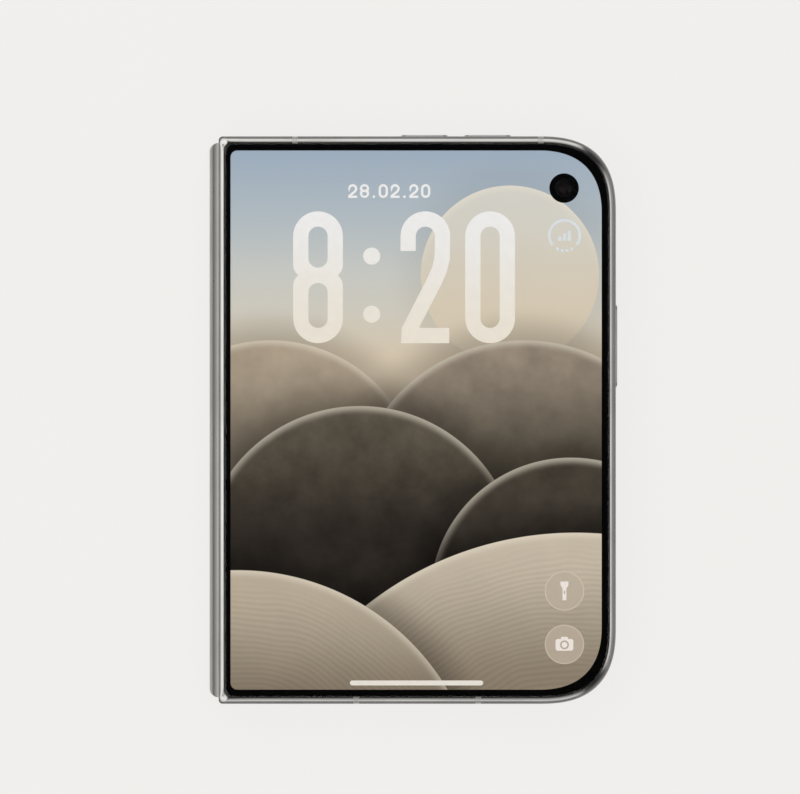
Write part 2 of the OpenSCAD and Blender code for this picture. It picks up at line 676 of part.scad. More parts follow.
// ---- hinge ----

// Outline of the spine at radius r about both axes, in X and Z
module spine_outline(r) {
    for (s = [-1, 1]) translate([axis_x, s * axis_rise]) circle(r);
    translate([axis_x - r, -axis_rise]) square([2 * r, 2 * axis_rise]);
}
module spine_cover() place() color("#a8a8a2") difference() {
    intersection() {
        along_y(-spine_half_l, spine_half_l) intersection() {
            spine_outline(spine_r);
            translate([axis_x - big, -big / 2]) square([big, big]);
        }
        translate([0, 0, -big / 2]) linear_extrude(big)
            outline(axis_x - spine_r, axis_x + 20, spine_half_l, spine_end_r, 1);
    }
    along_y(-cap_y, cap_y) spine_outline(spine_in_r);
    // notches for the bars of the arms, hidden under the skins of the halves
    both_ends() for (s = [-1, 1]) translate([0, 0, s > 0 ? axis_rise : -axis_rise - 5])
        block(axis_x - bar_z0 - bar_t + axis_rise - 0.06, axis_x + 1, mod_y - arm_v - arm_l - 0.1,
              mod_y - arm_v + 0.1, 0, 5);
    both_ends() base_screw_places() along_hole(base_screw_r, -0.3, 1);
}
base_screw_r = 0.3;
base_back_x = axis_x - spine_in_r;
module along_hole(r, x0, x1) translate([base_back_x + x0, 0, 0]) rotate([0, 90, 0]) cylinder(r = r, h = x1 - x0);
module base_screw_places() for (v = [spring_v + 1.5, spring_v + spring_l - 1.5]) translate([0, mod_y - v, 0]) children();

// Bed of the hinge, against the back of the spine, and lugs that carry the pins
module bed_outline() {
    intersection() {
        spine_outline(spine_in_r - 0.05);
        translate([base_back_x, -big / 2]) square([bed_x - base_back_x, big]);
    }
    translate([base_back_x, -axis_rise]) square([0.2, 2 * axis_rise]);
}
module lug_outline() {
    bed_outline();
    translate([bed_x - eps, -axis_rise]) square([strip_x - bed_x + eps, 2 * axis_rise]);
    for (s = [-1, 1]) translate([axis_x, s * axis_rise]) circle(hub_r);
    translate([bed_x - eps, -axis_rise - hub_r]) square([axis_x - bed_x + eps, 2 * (axis_rise + hub_r)]);
}
module at_v(v0, v1) along_y(mod_y - v1, mod_y - v0) children();
module hinge_base() difference() {
    union() {
        at_v(0, mod_l) bed_outline();
        at_v(0, lug_l) lug_outline();
        at_v(lug_b_v, lug_b_v + lug_l) lug_outline();
        at_v(lug_c_v, lug_c_v + lug_l) lug_outline();
    }
    // room for the idlers
    at_v(lug_l, arm_v + side_gap) translate([base_back_x + 0.2, -axis_rise]) square([5, 2 * axis_rise]);
    for (s = [-1, 1]) rod(axis_x, s * axis_rise, mod_y - mod_l - 1, mod_y + 1, pin_r);
    for (s = [-1, 1]) rod(idler_x, s * idler_z, mod_y - arm_v - 2, mod_y - lug_l / 2, idler_pin_r);
    base_screw_places() along_hole(base_screw_r, -1, 5);
}
module hinge_bases() place() color("#6d6f72") both_ends() hinge_base();
module hinge_pins() place() color("#c7c9cb") both_ends() for (s = [-1, 1])
    rod(axis_x, s * axis_rise, mod_y - mod_l, mod_y, pin_r);
module idler_pins() place() color("#c7c9cb") both_ends() for (s = [-1, 1])
    rod(idler_x, s * idler_z, mod_y - arm_v - 1.5, mod_y - lug_l / 2, idler_pin_r);
module base_screws() place() color("#8f9194") both_ends() base_screw_places() {
    along_hole(base_screw_r, -0.3, bed_x - base_back_x + eps);
    along_hole(base_screw_r + 0.3, bed_x - base_back_x, bed_x - base_back_x + 0.25);
}
// Stack of disc springs round each pin
spring_n = 7;
module spring_stack() {
    step = spring_l / spring_n;
    points = [for (i = [0 : spring_n - 1]) for (p = [[pin_r + 0.12, i * step], [hub_r, (i + 0.35) * step],
                  [hub_r, (i + 0.65) * step], [pin_r + 0.12, (i + 1) * step - eps]]) p];
    rotate_extrude() polygon(concat([[pin_r, 0]], points, [[pin_r, spring_l]]));
}
module torque_springs() place() color("#9da0a3") both_ends() for (s = [-1, 1])
    translate([axis_x, mod_y - spring_v - spring_l, s * axis_rise]) rotate([-90, 0, 0]) spring_stack();
module fold_support_strip() place() color("#8a8c8f")
    block(strip_x, strip_x + strip_t, -mod_y, mod_y, -strip_w / 2, strip_w / 2);
// Flexible circuit that lies against the inside of the spine
flex_t = 0.12;
flex_w = 24;
flex_r = spine_in_r - 0.05;
module hinge_flex() place() color("#8a5a20") along_y(-flex_w / 2, flex_w / 2) {
    difference() {
        intersection() {
            spine_outline(flex_r);
            translate([axis_x - big, -big / 2]) square([big - 0.3, big]);
        }
        spine_outline(flex_r - flex_t);
    }
    // pad that is glued to the flat back of the spine
    translate([base_back_x, -axis_rise]) square([0.1, 2 * axis_rise]);
}

// Outline of the screen's fold at distance r from its middle line
module fold_outline(r) {
    module branch() {
        // sweep: a ring about a centre above the flat screen, between the fold and the flat part
        intersection() {
            difference() {
                translate([flat_x, fold_mid_z + sweep_r]) circle(sweep_r + r, $fn = 180);
                translate([flat_x, fold_mid_z + sweep_r]) circle(sweep_r - r, $fn = 180);
            }
            polygon([[flat_x, 0], [flat_x, fold_mid_z + sweep_r], [fold_x, 0]]);
        }
    }
    branch();
    mirror([0, 1]) branch();
    difference() {
        circle_ring(r);
        polygon([[fold_x, 0], [flat_x, fold_mid_z + sweep_r], [flat_x + 20, fold_mid_z + sweep_r],
                 [flat_x + 20, -fold_mid_z - sweep_r], [flat_x, -fold_mid_z - sweep_r]]);
    }
}
module circle_ring(r) translate([fold_x, 0]) difference() {
    circle(fold_r + r);
    circle(fold_r - r);
}
module inner_screen_fold() place() color("#6f6a60")
    along_y(-half_h + inner_border_w + fit_gap / 2, half_h - inner_border_w - fit_gap / 2)
        fold_outline(inner_panel_t / 2);

// Timing gear in X and Z with a tooth at the angle phase
module gear(phase) {
    function at(r, a) = [r * cos(a), r * sin(a)];
    polygon([for (i = [0 : gear_teeth - 1]) let (a = phase + i * gear_pitch)
             for (p = [at(gear_root_r, a - 0.36 * gear_pitch), at(gear_tip_r, a - 0.1 * gear_pitch),
                       at(gear_tip_r, a + 0.1 * gear_pitch), at(gear_root_r, a + 0.36 * gear_pitch)]) p]);
}
// Arm of the front half: hub with its gear on the pin, bar and screwed foot
module swing_arm(phase) difference() {
    union() {
        at_v(arm_v, arm_v + arm_l) {
            translate([axis_x, axis_rise]) circle(hub_r);
            translate([axis_x, bar_z0]) square([foot_x0 - axis_x + eps, bar_t]);
            translate([foot_x0, bar_z0]) square([foot_x1 - foot_x0, foot_t]);
        }
        at_v(gear_v, arm_v + eps) translate([axis_x, axis_rise]) gear(phase);
    }
    rod(axis_x, axis_rise, -mod_y, mod_y + 1, pin_r + run_gap);
    arm_screw_places() translate([0, 0, bar_z0 - 1]) cylinder(r = screw_r, h = foot_t + 2);
}
module arm_screws() arm_screw_places() {
    translate([0, 0, bar_z0 + foot_t - screw_l]) cylinder(r = screw_r, h = screw_l + eps);
    translate([0, 0, bar_z0 + foot_t]) cylinder(r = screw_head_r, h = screw_head_t);
}
module front_swing_arms() place() color("#8a8c8f") both_ends() swing_arm(hub_phase_front);
module rear_swing_arms() place() color("#8a8c8f") both_ends() rear_side() swing_arm(-hub_phase_rear);
module front_arm_screws() place() color("#c7c9cb") both_ends() arm_screws();
module rear_arm_screws() place() color("#c7c9cb") both_ends() rear_side() arm_screws();
module idler(z, phase) at_v(gear_v, arm_v) difference() {
    translate([idler_x, z]) gear(phase);
    translate([idler_x, z]) circle(idler_pin_r + run_gap);
}
module front_idler_gears() place() color("#b08d4a") both_ends() idler(idler_z, idler_phase_front);
module rear_idler_gears() place() color("#b08d4a") both_ends() idler(-idler_z, idler_phase_rear);

rear_frame();
back_glass();
camera_plateau();
lens_rings();
lens_glasses();
camera_modules();
flash_lens();
main_board();
shield_can();
rear_battery();
charging_coil();
port_shell();
port_tongue();
loudspeaker();
vibration_motor();
key_switches();
rear_antenna_breaks();
rear_magnets();
rear_inner_plate();
inner_screen_rear();
rear_bezel();
rear_swing_arms();
rear_arm_screws();
volume_up_key();
volume_down_key();
power_key();
front_frame();
cover_glass();
cover_screen();
cover_camera();
inner_camera();
earpiece();
front_battery();
sub_board();
front_antenna_breaks();
front_magnets();
front_inner_plate();
inner_screen_front();
front_bezel();
front_swing_arms();
front_arm_screws();
spine_cover();
hinge_bases();
hinge_pins();
idler_pins();
torque_springs();
base_screws();
fold_support_strip();
hinge_flex();
inner_screen_fold();
front_idler_gears();
rear_idler_gears();
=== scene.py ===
# %% [markdown]
# # A folding phone, lying shut
# The phone is two flat halves on a hinge. One half carries the cover screen, the other the
# cameras, and a half-round spine hides the hinge between them. Each visible piece is built
# here as a mesh in millimetres, in its final place, so that it can ride on a moving body.

# %% Open the packed model
import json
import math

import bmesh
import bpy
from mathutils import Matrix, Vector

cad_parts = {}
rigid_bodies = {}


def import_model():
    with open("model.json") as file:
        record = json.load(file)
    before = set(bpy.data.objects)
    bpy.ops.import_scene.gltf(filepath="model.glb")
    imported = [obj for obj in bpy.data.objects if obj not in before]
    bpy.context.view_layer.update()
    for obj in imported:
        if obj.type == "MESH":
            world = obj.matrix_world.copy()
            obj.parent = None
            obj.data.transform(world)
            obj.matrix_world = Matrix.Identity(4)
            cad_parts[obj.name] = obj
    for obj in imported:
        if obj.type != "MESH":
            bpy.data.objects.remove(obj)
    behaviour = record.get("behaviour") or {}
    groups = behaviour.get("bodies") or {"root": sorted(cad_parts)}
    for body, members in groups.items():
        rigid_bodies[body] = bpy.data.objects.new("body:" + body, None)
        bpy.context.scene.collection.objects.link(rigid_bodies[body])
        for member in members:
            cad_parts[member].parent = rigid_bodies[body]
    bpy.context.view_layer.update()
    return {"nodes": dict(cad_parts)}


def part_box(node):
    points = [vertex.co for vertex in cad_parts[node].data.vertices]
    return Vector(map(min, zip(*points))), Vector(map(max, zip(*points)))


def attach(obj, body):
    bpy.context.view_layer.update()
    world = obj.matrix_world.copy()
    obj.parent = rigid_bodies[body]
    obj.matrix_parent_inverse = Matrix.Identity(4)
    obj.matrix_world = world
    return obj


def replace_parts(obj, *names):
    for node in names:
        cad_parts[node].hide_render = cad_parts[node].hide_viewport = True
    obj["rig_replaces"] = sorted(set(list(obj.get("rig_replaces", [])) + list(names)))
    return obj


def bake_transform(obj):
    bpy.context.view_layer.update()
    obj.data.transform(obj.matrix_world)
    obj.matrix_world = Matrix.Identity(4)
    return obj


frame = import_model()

nodes = frame["nodes"]

# %% [markdown]
# ## Measures
# The solids already say how big everything is, so the sizes are read from their boxes. Only
# finer things, such as a corner's curve or an edge's rounding, get a number here.

# %% Read the main sizes
MM = 0.001


def box_mm(node):
    """A node's lowest and highest corner, in millimetres."""
    low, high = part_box(node)
    return [round(v / MM, 3) for v in low], [round(v / MM, 3) for v in high]


def middle(node):
    """The middle of a node's box, in millimetres."""
    return [(a + b) / 2 for a, b in zip(*box_mm(node))]


front_low, front_high = box_mm("front_frame")
rear_high = box_mm("rear_frame")[1]
FOLD_X = front_low[0]
HALF_W = front_high[0] - front_low[0]
HALF_H = (front_high[1] - front_low[1]) / 2
MID_Y = (front_high[1] + front_low[1]) / 2
SHUT_Z = (front_low[2] + rear_high[2]) / 2
INNER_Z = front_low[2] - SHUT_Z
OUTER_Z = front_high[2] - SHUT_Z
GLASS_Z = box_mm("cover_glass")[0][2] - SHUT_Z
PLATEAU_Z = SHUT_Z - box_mm("camera_plateau")[0][2]
RING_Z = SHUT_Z - box_mm("lens_rings")[0][2]
FRONT, REAR = 1, -1
print("one half is", round(HALF_W, 2), "x", round(2 * HALF_H, 2), "x",
      round(OUTER_Z - INNER_Z, 2), "mm")


def seat(points, side):
    """Moves points from a half's own axes into the model. x runs from the fold end to the
    free edge, y up from the middle, and z from the plane between the halves outwards."""
    return [(FOLD_X + x, MID_Y + y, SHUT_Z + side * z) for x, y, z in points]


# %% [markdown]
# ## Graph helpers
# Materials and Geometry Nodes are both graphs of nodes. A small class wraps one output
# socket, so that sums on it can be written as plain Python and each operator adds its own
# Math node. One general method adds any other node, and a few short ones build on it.

# %% Sockets that can be added and multiplied
class Signal:
    """One output socket of a graph, which takes part in Python sums."""

    def __init__(self, graph, socket):
        self.graph, self.socket = graph, socket

    def maths(self, operation, *values):
        return self.graph.node("ShaderNodeMath", {"operation": operation}, dict(enumerate(values)))

    def __add__(self, other): return self.maths("ADD", self, other)
    def __sub__(self, other): return self.maths("SUBTRACT", self, other)
    def __rsub__(self, other): return self.maths("SUBTRACT", other, self)
    def __mul__(self, other): return self.maths("MULTIPLY", self, other)
    def __truediv__(self, other): return self.maths("DIVIDE", self, other)
    def __pow__(self, other): return self.maths("POWER", self, other)
    def __neg__(self): return self.maths("MULTIPLY", self, -1.0)
    __radd__, __rmul__ = __add__, __mul__

    def low(self, other): return self.maths("MINIMUM", self, other)
    def high(self, other): return self.maths("MAXIMUM", self, other)
    def size(self): return self.maths("ABSOLUTE", self)
    def sign(self): return self.maths("SIGN", self)
    def root(self): return self.maths("SQRT", self)
    def sine(self): return self.maths("SINE", self)
    def cosine(self): return self.maths("COSINE", self)

    def rise(self, start, end, low=0.0, high=1.0):
        """Eases from low to high as this signal goes from start to end."""
        return self.graph.node("ShaderNodeMapRange", {"interpolation_type": "SMOOTHSTEP"},
                               {0: self, 1: start, 2: end, 3: low, 4: high})

    def span(self, low=0.0, high=1.0):
        """Spreads soft noise, which stays between about 0.3 and 0.7, from low to high."""
        return self.rise(0.3, 0.7, low, high)


print("signals have", len([name for name in vars(Signal) if not name.startswith("_")]), "methods")

# %% Any node, by its type, settings and sockets
class Graph:
    """A node tree under construction."""

    def __init__(self, tree):
        self.tree = tree

    def node(self, kind, settings=None, sockets=None, out=0):
        """Adds a node, sets it up, feeds its sockets by name or number, and gives an output."""
        made = self.tree.nodes.new(kind)
        for name, value in (settings or {}).items():
            if name == "stops":
                ramp = made.color_ramp
                while len(ramp.elements) < len(value):
                    ramp.elements.new(1.0)
                for element, (place, colour) in zip(ramp.elements, value):
                    element.position, element.color = place, colour
            else:
                setattr(made, name, value)
        for key, value in (sockets or {}).items():
            socket = made.inputs[key]
            if isinstance(value, Signal):
                self.tree.links.new(value.socket, socket)
            else:
                socket.default_value = value
        return Signal(self, made.outputs[out])

    def outputs(self, signal):
        """Every output of the node that a signal comes from, by name."""
        return {s.name: Signal(self, s) for s in signal.socket.node.outputs}

    def vector(self, x=0.0, y=0.0, z=0.0):
        return self.node("ShaderNodeCombineXYZ", None, {0: x, 1: y, 2: z})

    def parts(self, vector):
        """The x, y and z of a vector."""
        return list(self.outputs(self.node("ShaderNodeSeparateXYZ", None, {0: vector})).values())

    def distance(self, place, point):
        return self.node("ShaderNodeVectorMath", {"operation": "DISTANCE"},
                         {0: place, 1: point}, out=1)

    def mix(self, share, first, second, blend="MIX"):
        return self.node("ShaderNodeMix", {"data_type": "RGBA", "blend_type": blend},
                         {0: share, 6: first, 7: second}, out=2)


print("graphs have", len([name for name in vars(Graph) if not name.startswith("_")]), "methods")

# %% [markdown]
# ## Materials
# Every finish starts from the Principled shader. What is the same all over goes straight
# onto its sockets, and only colour, roughness, metal share and bump vary over the surface.
# Patterns read Object coordinates, which are metres in the model, turned to millimetres.

# %% A finish to build on
def linear(value):
    """One colour channel, from 0 to 255 on a display, as the linear number Blender wants."""
    value /= 255
    return value / 12.92 if value <= 0.04045 else ((value + 0.055) / 1.055) ** 2.4


def tint(red, green, blue):
    return linear(red), linear(green), linear(blue), 1.0


def darker(colour, share):
    return tuple(c * share for c in colour[:3]) + (1.0,)


class Finish(Graph):
    """A material: `place` is the position in mm, and `coat` ends the graph in a shader."""

    def __init__(self, name):
        self.material = bpy.data.materials.new(name)
        self.material.use_nodes = True
        super().__init__(self.material.node_tree)
        self.tree.nodes.clear()
        self.place = self.node("ShaderNodeVectorMath", {"operation": "SCALE"},
                               {0: self.node("ShaderNodeTexCoord", out=3), "Scale": 1 / MM})

    def axes(self):
        return self.parts(self.place)

    def stretch(self, x, y, z):
        return self.node("ShaderNodeVectorMath", {"operation": "MULTIPLY"},
                         {0: self.place, 1: (x, y, z)})

    def noise(self, scale, place=None, detail=2.0, rough=0.5):
        """Soft random spots from about 0.3 to 0.7, `scale` of them to a millimetre."""
        return self.node("ShaderNodeTexNoise", None, {
            "Vector": place or self.place, "Scale": scale, "Detail": detail, "Roughness": rough})

    def times(self, colour, grey):
        """A colour made lighter or darker by a number."""
        shade = self.node("ShaderNodeCombineColor", None, {k: grey for k in range(3)})
        return self.mix(1.0, colour, shade, "MULTIPLY")

    def bump(self, height, strength, depth):
        """Turns a height from 0 to 1 into tilted normals; depth is in millimetres."""
        return self.node("ShaderNodeBump", None,
                         {"Height": height, "Strength": strength, "Distance": depth * MM})

    def coat(self, **values):
        """Ends in the Principled shader; `Base_Color` stands for its socket Base Color."""
        sockets = {k.replace("_", " "): v for k, v in values.items()}
        return self.end(self.node("ShaderNodeBsdfPrincipled", None, sockets))

    def end(self, shader):
        last = self.tree.nodes.new("ShaderNodeOutputMaterial")
        self.tree.links.new(shader.socket, last.inputs[0])
        return self.material


print("white is", tint(255, 255, 255))

# %% [markdown]
# ### Metal
# The band is polished metal: almost a mirror on its lips and more satin on its side, whose
# colour is painted a shade darker, as painted shade for the dark reflection along the edge. A
# mirror shows the lamps, so the work is in the small things: soft smudges in the roughness, and
# hairlines that run along the band.

# %% Polished band and spine
LIP_FROM, LIP_TO = 0.62, 0.34


def polished_metal(name, lip, side, haze, lines=(0.15, 0.15, 14.0), shade=None):
    """`shade` takes the finish and gives a mask from 0 to 1 where painted shade darkens the metal.
    """
    f = Finish(name)
    smudge = f.noise(0.09, detail=3.0)
    hairline = f.noise(1.0, f.stretch(*lines), detail=3.0)
    height = (f.axes()[2] - SHUT_Z).size()
    lipness = height.rise(OUTER_Z - LIP_FROM, OUTER_Z - LIP_TO)
    # the smudges are dirt; the side's darker colour is painted shade for the dark reflection along
    # the edge
    smudged_and_shaded = f.mix(smudge.rise(0.35, 0.7, 0.0, 0.16), f.mix(lipness, side, lip), tint(128, 126, 122))
    if shade:
        # painted shade: where the mask says, the metal turns near black
        smudged_and_shaded = f.mix(shade(f), smudged_and_shaded, tint(52, 51, 50))
    rough = smudge.span(haze, haze + 0.07) + (1 - lipness) * 0.1
    return f.coat(Base_Color=smudged_and_shaded, Roughness=rough, Metallic=1.0,
                  Normal=f.bump(hairline, 0.12, 0.01))


# the side colour is painted a shade darker than the lip, as painted shade for the edge's dark
# reflection
band_metal = polished_metal("band_metal", tint(196, 194, 190), tint(134, 132, 130), 0.12)
spine_grey = tint(171, 170, 164)
spine_metal = polished_metal("spine_metal", spine_grey, spine_grey, 0.16, (9.0, 0.1, 9.0))
print("two metals")

# %% [markdown]
# ### Glass and ink
# The cover pane is clear glass that bends light, and the black border is ink printed on its
# underside. The back pane is etched, so its glass is milky and its fine grain is bump.

# %% Clear pane, ink, etched back
def clear_glass(name, colour):
    f = Finish(name)
    smear = f.noise(0.05, detail=4.0).rise(0.5, 0.8, 0.0, 0.03)
    return f.coat(Base_Color=colour, Roughness=smear, Transmission_Weight=1.0, IOR=1.5)


def moulded(name, colour, spread, rough, grain, depth, coat=0.0, gloss=0.5):
    """Plain moulded or painted stuff: a colour with faint mottling and a fine grain. What is
    glued under glass has no surface of its own to shine, so its gloss is 0."""
    f = Finish(name)
    mottle = f.noise(0.25, detail=3.0)
    fine = f.noise(grain)
    return f.coat(Base_Color=f.mix(mottle.span(), darker(colour, 1 - spread * 2), colour),
                  Roughness=fine.span(rough - 0.05, rough + 0.06), Coat_Weight=coat,
                  Specular_IOR_Level=gloss, Normal=f.bump(fine, 0.25, depth))


pane_glass = clear_glass("pane_glass", (1.0, 1.0, 1.0, 1.0))
lens_glass = clear_glass("lens_glass", (0.86, 0.88, 1.0, 1.0))
border_ink = moulded("border_ink", (0.0016, 0.0016, 0.002, 1.0), 0.1, 0.35, 4.0, 0.002, gloss=0.0)
back_etched = moulded("back_etched", tint(214, 212, 207), 0.012, 0.36, 9.0, 0.006, coat=0.25)
plateau_etched = moulded("plateau_etched", tint(203, 201, 196), 0.012, 0.24, 9.0, 0.003, coat=0.4)
print("glass, ink and etched glass")

# %% [markdown]
# ### The picture on the displays
# The cover screen shows an abstract picture: a pale evening gradient with large overlapping
# discs in stone and sand colours. It could be an image, but drawn by nodes it stays sharp and
# needs no file. One loop lays the discs over each other, each with a lit rim, a shade that
# falls on what lies behind, and either a rough or a finely rippled face. The inner screen
# shows the same picture, larger. It bends, so its picture follows a flat map on its mesh.

# %% Picture of overlapping discs
BACKDROP = ((0.0, tint(214, 196, 170)), (0.62, tint(219, 204, 180)), (0.70, tint(212, 207, 194)),
            (0.77, tint(205, 206, 200)), (0.87, tint(183, 193, 198)), (1.0, tint(162, 178, 195)))
PICTURE_H = 115
# middle across and up, radius, upper and lower colour, how far down the colour changes, shade
# cast behind, roughness of the face, ripples
DISCS = (
    (20, 31, 19, tint(216, 214, 205), tint(219, 206, 183), 30, 0.10, 0.02, False),
    (-31, -15, 32, tint(176, 161, 140), tint(112, 103, 90), 26, 0.36, 0.20, False),
    (23, -20, 37, tint(150, 137, 121), tint(86, 79, 68), 26, 0.40, 0.30, False),
    (-12, -31, 34, tint(92, 84, 72), tint(44, 39, 34), 30, 0.46, 0.46, False),
    (33, -38, 30, tint(72, 65, 56), tint(40, 36, 31), 26, 0.46, 0.46, False),
    (34, -96, 72, tint(203, 191, 171), tint(140, 127, 109), 34, 0.50, 0.05, True),
    (-38, -84, 52, tint(190, 177, 157), tint(118, 105, 89), 34, 0.50, 0.05, True),
)
SHADE, RIM_LIGHT = tint(58, 48, 38), tint(244, 234, 214)


def picture(f, across, up):
    """Gives the picture's colour at a place in mm, measured from the picture's middle."""
    place = f.vector(across, up)
    colour = f.node("ShaderNodeValToRGB", {"stops": BACKDROP}, {0: up / PICTURE_H + 0.5})
    crag = f.noise(0.11, place, 7.0, 0.62)
    sway = f.noise(0.05, place)
    for x, y, radius, high, low, fade, shade, rough, rippled in DISCS:
        inside = radius - f.distance(place, (x, y, 0.0))
        colour = f.mix(inside.rise(-8.0, 1.0, 0.0, shade), colour, SHADE, "MULTIPLY")
        face = f.mix((y + radius - up).rise(0.0, fade), high, low)
        relief = (crag - 0.5) * (rough * 3.2)
        if rippled:
            wave = (inside * 5.4 + sway * 26.0).sine()
            relief = relief + wave * inside.rise(0.5, 9.0, 0.0, 0.055)
        face = f.times(face, relief + 1.0)
        rim_glow = inside.rise(0.0, 2.4, 1.0, 0.0) ** 2.0
        lit = rim_glow * (up - y).rise(-radius * 0.2, radius, 0.0, 0.42)
        colour = f.mix(inside.rise(-0.07, 0.07), colour, f.mix(lit, face, RIM_LIGHT))
    return colour


print("picture of", len(DISCS), "discs")

# %% The picture on both displays
INNER_SCALE, INNER_SHIFT = 0.56, -9.0


def on_cover(f):
    across, up, _ = f.axes()
    return across - screen_x, up - MID_Y


def on_inner(f):
    across, up, _ = f.parts(f.node("ShaderNodeAttribute", {"attribute_name": "sheet"}, out=1))
    return across * INNER_SCALE, up * INNER_SCALE + INNER_SHIFT


def display(name, place, glow, gloss):
    """A lit panel; `place` takes the finish and gives the place on the picture."""
    f = Finish(name)
    art = picture(f, *place(f))
    unlit = tint(*[255 * (1 - glow) ** 0.45] * 3)
    return f.coat(Base_Color=f.mix(1.0, art, unlit, "MULTIPLY"), Roughness=0.25,
                  Specular_IOR_Level=gloss, Emission_Color=art, Emission_Strength=glow)


screen_x = middle("cover_screen")[0]
cover_picture = display("cover_picture", on_cover, 1.0, 0.0)
inner_picture = display("inner_picture", on_inner, 0.3, 0.3)
print("middle of the cover screen at x", round(screen_x, 2), "mm")

# %% [markdown]
# ## Mesh helpers
# Nearly every piece is a skin over a row of sections: a band is one profile repeated along
# an outline, a plate is one outline repeated at several heights, and a lens is one profile
# turned about an axis. So one function makes the skin, and one makes the finished object.

# %% Skins over rows of sections
def skin(rows, loop=False):
    """Joins each section in `rows` to the next. A loop closes on itself, and otherwise both
    ends get a lid."""
    width, count = len(rows[0]), len(rows)
    faces = []
    for a in range(count if loop else count - 1):
        b = (a + 1) % count
        for k in range(width):
            n = (k + 1) % width
            faces.append((a * width + k, a * width + n, b * width + n, b * width + k))
    if not loop:
        faces += [tuple(range(width)), tuple(range((count - 1) * width, count * width))]
    return [p for row in rows for p in row], faces


def turn(profile, x, y, steps=72):
    """Turns a closed profile of (radius, z) about the upright axis through x, y."""
    rows = [[(x + r * math.cos(a), y + r * math.sin(a), z) for r, z in profile]
            for a in (2 * math.pi * i / steps for i in range(steps))]
    return skin(rows, loop=True)


def box_shell(x0, x1, y0, y1, z0, z1):
    return skin([[(x, y0, z0), (x, y1, z0), (x, y1, z1), (x, y0, z1)] for x in (x0, x1)])


def place_all(shells, side):
    return [(seat(points, side), faces) for points, faces in shells]


print("a turned square has", len(turn([(1, 0), (2, 0), (2, 1), (1, 1)], 0, 0)[1]), "faces")

# %% [markdown]
# ### From skins to objects
# A skin is only a list of points and faces. It becomes an object in metres whose doubles are
# merged, whose faces point outwards, and whose sharp edges stay crisp under smooth shading.

# %% Clean, soften and make an object
MERGE_WITHIN, NO_LENGTH = 2e-7, 1e-7


def clean(shape):
    """Merges doubles, drops faces without area and turns the rest outwards."""
    bmesh.ops.remove_doubles(shape, verts=shape.verts, dist=MERGE_WITHIN)
    bmesh.ops.dissolve_degenerate(shape, edges=shape.edges, dist=NO_LENGTH)
    bmesh.ops.recalc_face_normals(shape, faces=shape.faces)


def soften(piece, sharp=32):
    """Smooth shading, with every edge sharper than so many degrees kept crisp."""
    mesh = piece.data
    mesh.polygons.foreach_set("use_smooth", [True] * len(mesh.polygons))
    mesh.set_sharp_from_angle(angle=math.radians(sharp))
    return piece


def add_object(name, data):
    piece = bpy.data.objects.new(name, data)
    bpy.context.scene.collection.objects.link(piece)
    return piece


def evaluated_mesh(piece):
    """What a piece looks like with its modifiers, as a plain mesh."""
    now = bpy.context.evaluated_depsgraph_get()
    return bpy.data.meshes.new_from_object(piece.evaluated_get(now))


def make_piece(name, shells, finish, sharp=32, spread=None):
    """One object from closed shells in mm, cleaned and softened. `spread` gives each point
    of the first shell its place on a flat map."""
    shape = bmesh.new()
    layer = shape.verts.layers.float_vector.new("sheet") if spread else None
    for points, faces in shells:
        corners = [shape.verts.new(Vector(p) * MM) for p in points]
        for corner, place in zip(corners, spread or ()):
            corner[layer] = (*place, 0.0)
        for face in faces:
            shape.faces.new([corners[i] for i in face])
    clean(shape)
    mesh = bpy.data.meshes.new(name)
    shape.to_mesh(mesh)
    shape.free()
    mesh.materials.append(finish)
    return soften(add_object(name, mesh), sharp)


print("doubles within", round(MERGE_WITHIN / MM, 6), "mm are merged")

# %% [markdown]
# ### Joining, cutting and dressing
# Holes are cut with an exact boolean, whose result replaces the mesh at once, so no modifier
# is left on a finished piece. Last, a piece is dressed: it rides on its body and hides the
# solids that it stands for.

# %% Join, cut and dress
def join(piece, *others, cleaned=False):
    """Puts other objects' meshes into this one, and cleans it if asked."""
    shape = bmesh.new()
    for part in (piece, *others):
        shape.from_mesh(part.data)
    if cleaned:
        clean(shape)
    shape.to_mesh(piece.data)
    shape.free()
    for part in others:
        bpy.data.objects.remove(part)
    return soften(piece)


def cut(piece, cutter, sharp=32):
    """Takes the cutter's solid out of the piece, exactly, and removes the cutter."""
    carve = piece.modifiers.new("carve", "BOOLEAN")
    carve.operation, carve.solver, carve.object = "DIFFERENCE", "EXACT", cutter
    mesh = evaluated_mesh(piece)
    piece.modifiers.clear()
    piece.data = mesh
    while len(mesh.materials) > 1:
        mesh.materials.pop()
    bpy.data.objects.remove(cutter)
    return soften(piece, sharp)


def dress(piece, body, slot, *replaced):
    """Ties a piece to its body and to the solids that it stands for; its finish's slot, `slot`, is
    not used.
    """
    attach(piece, body)
    if replaced:
        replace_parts(piece, *replaced)
    print(piece.name, len(piece.data.polygons), "faces, on", body)
    return piece


print("pieces can be joined, cut and dressed")

# %% [markdown]
# ## Outline of a half
# Seen from above a half is a rectangle with small corners at the fold and large soft corners
# at the free edge. The large corner isn't a quarter circle: it follows a superellipse, whose
# bend starts gently and so has no visible seam with the straight edge. Every inner line, such
# as the glass or the lip, is this outline moved inwards along its normals.

# %% Draw the outline
CORNER, CORNER_POWER, BEND_STEPS = 16.6, 2.6, 40
FOLD_CORNER, PANE_FOLD_CORNER, FOLD_STEPS = 0.9, 2.1, 14
BREAK_W = 1.2
TOP_BREAKS, BOTTOM_BREAKS = (16.3, 68.7), (29.35, 55.35)
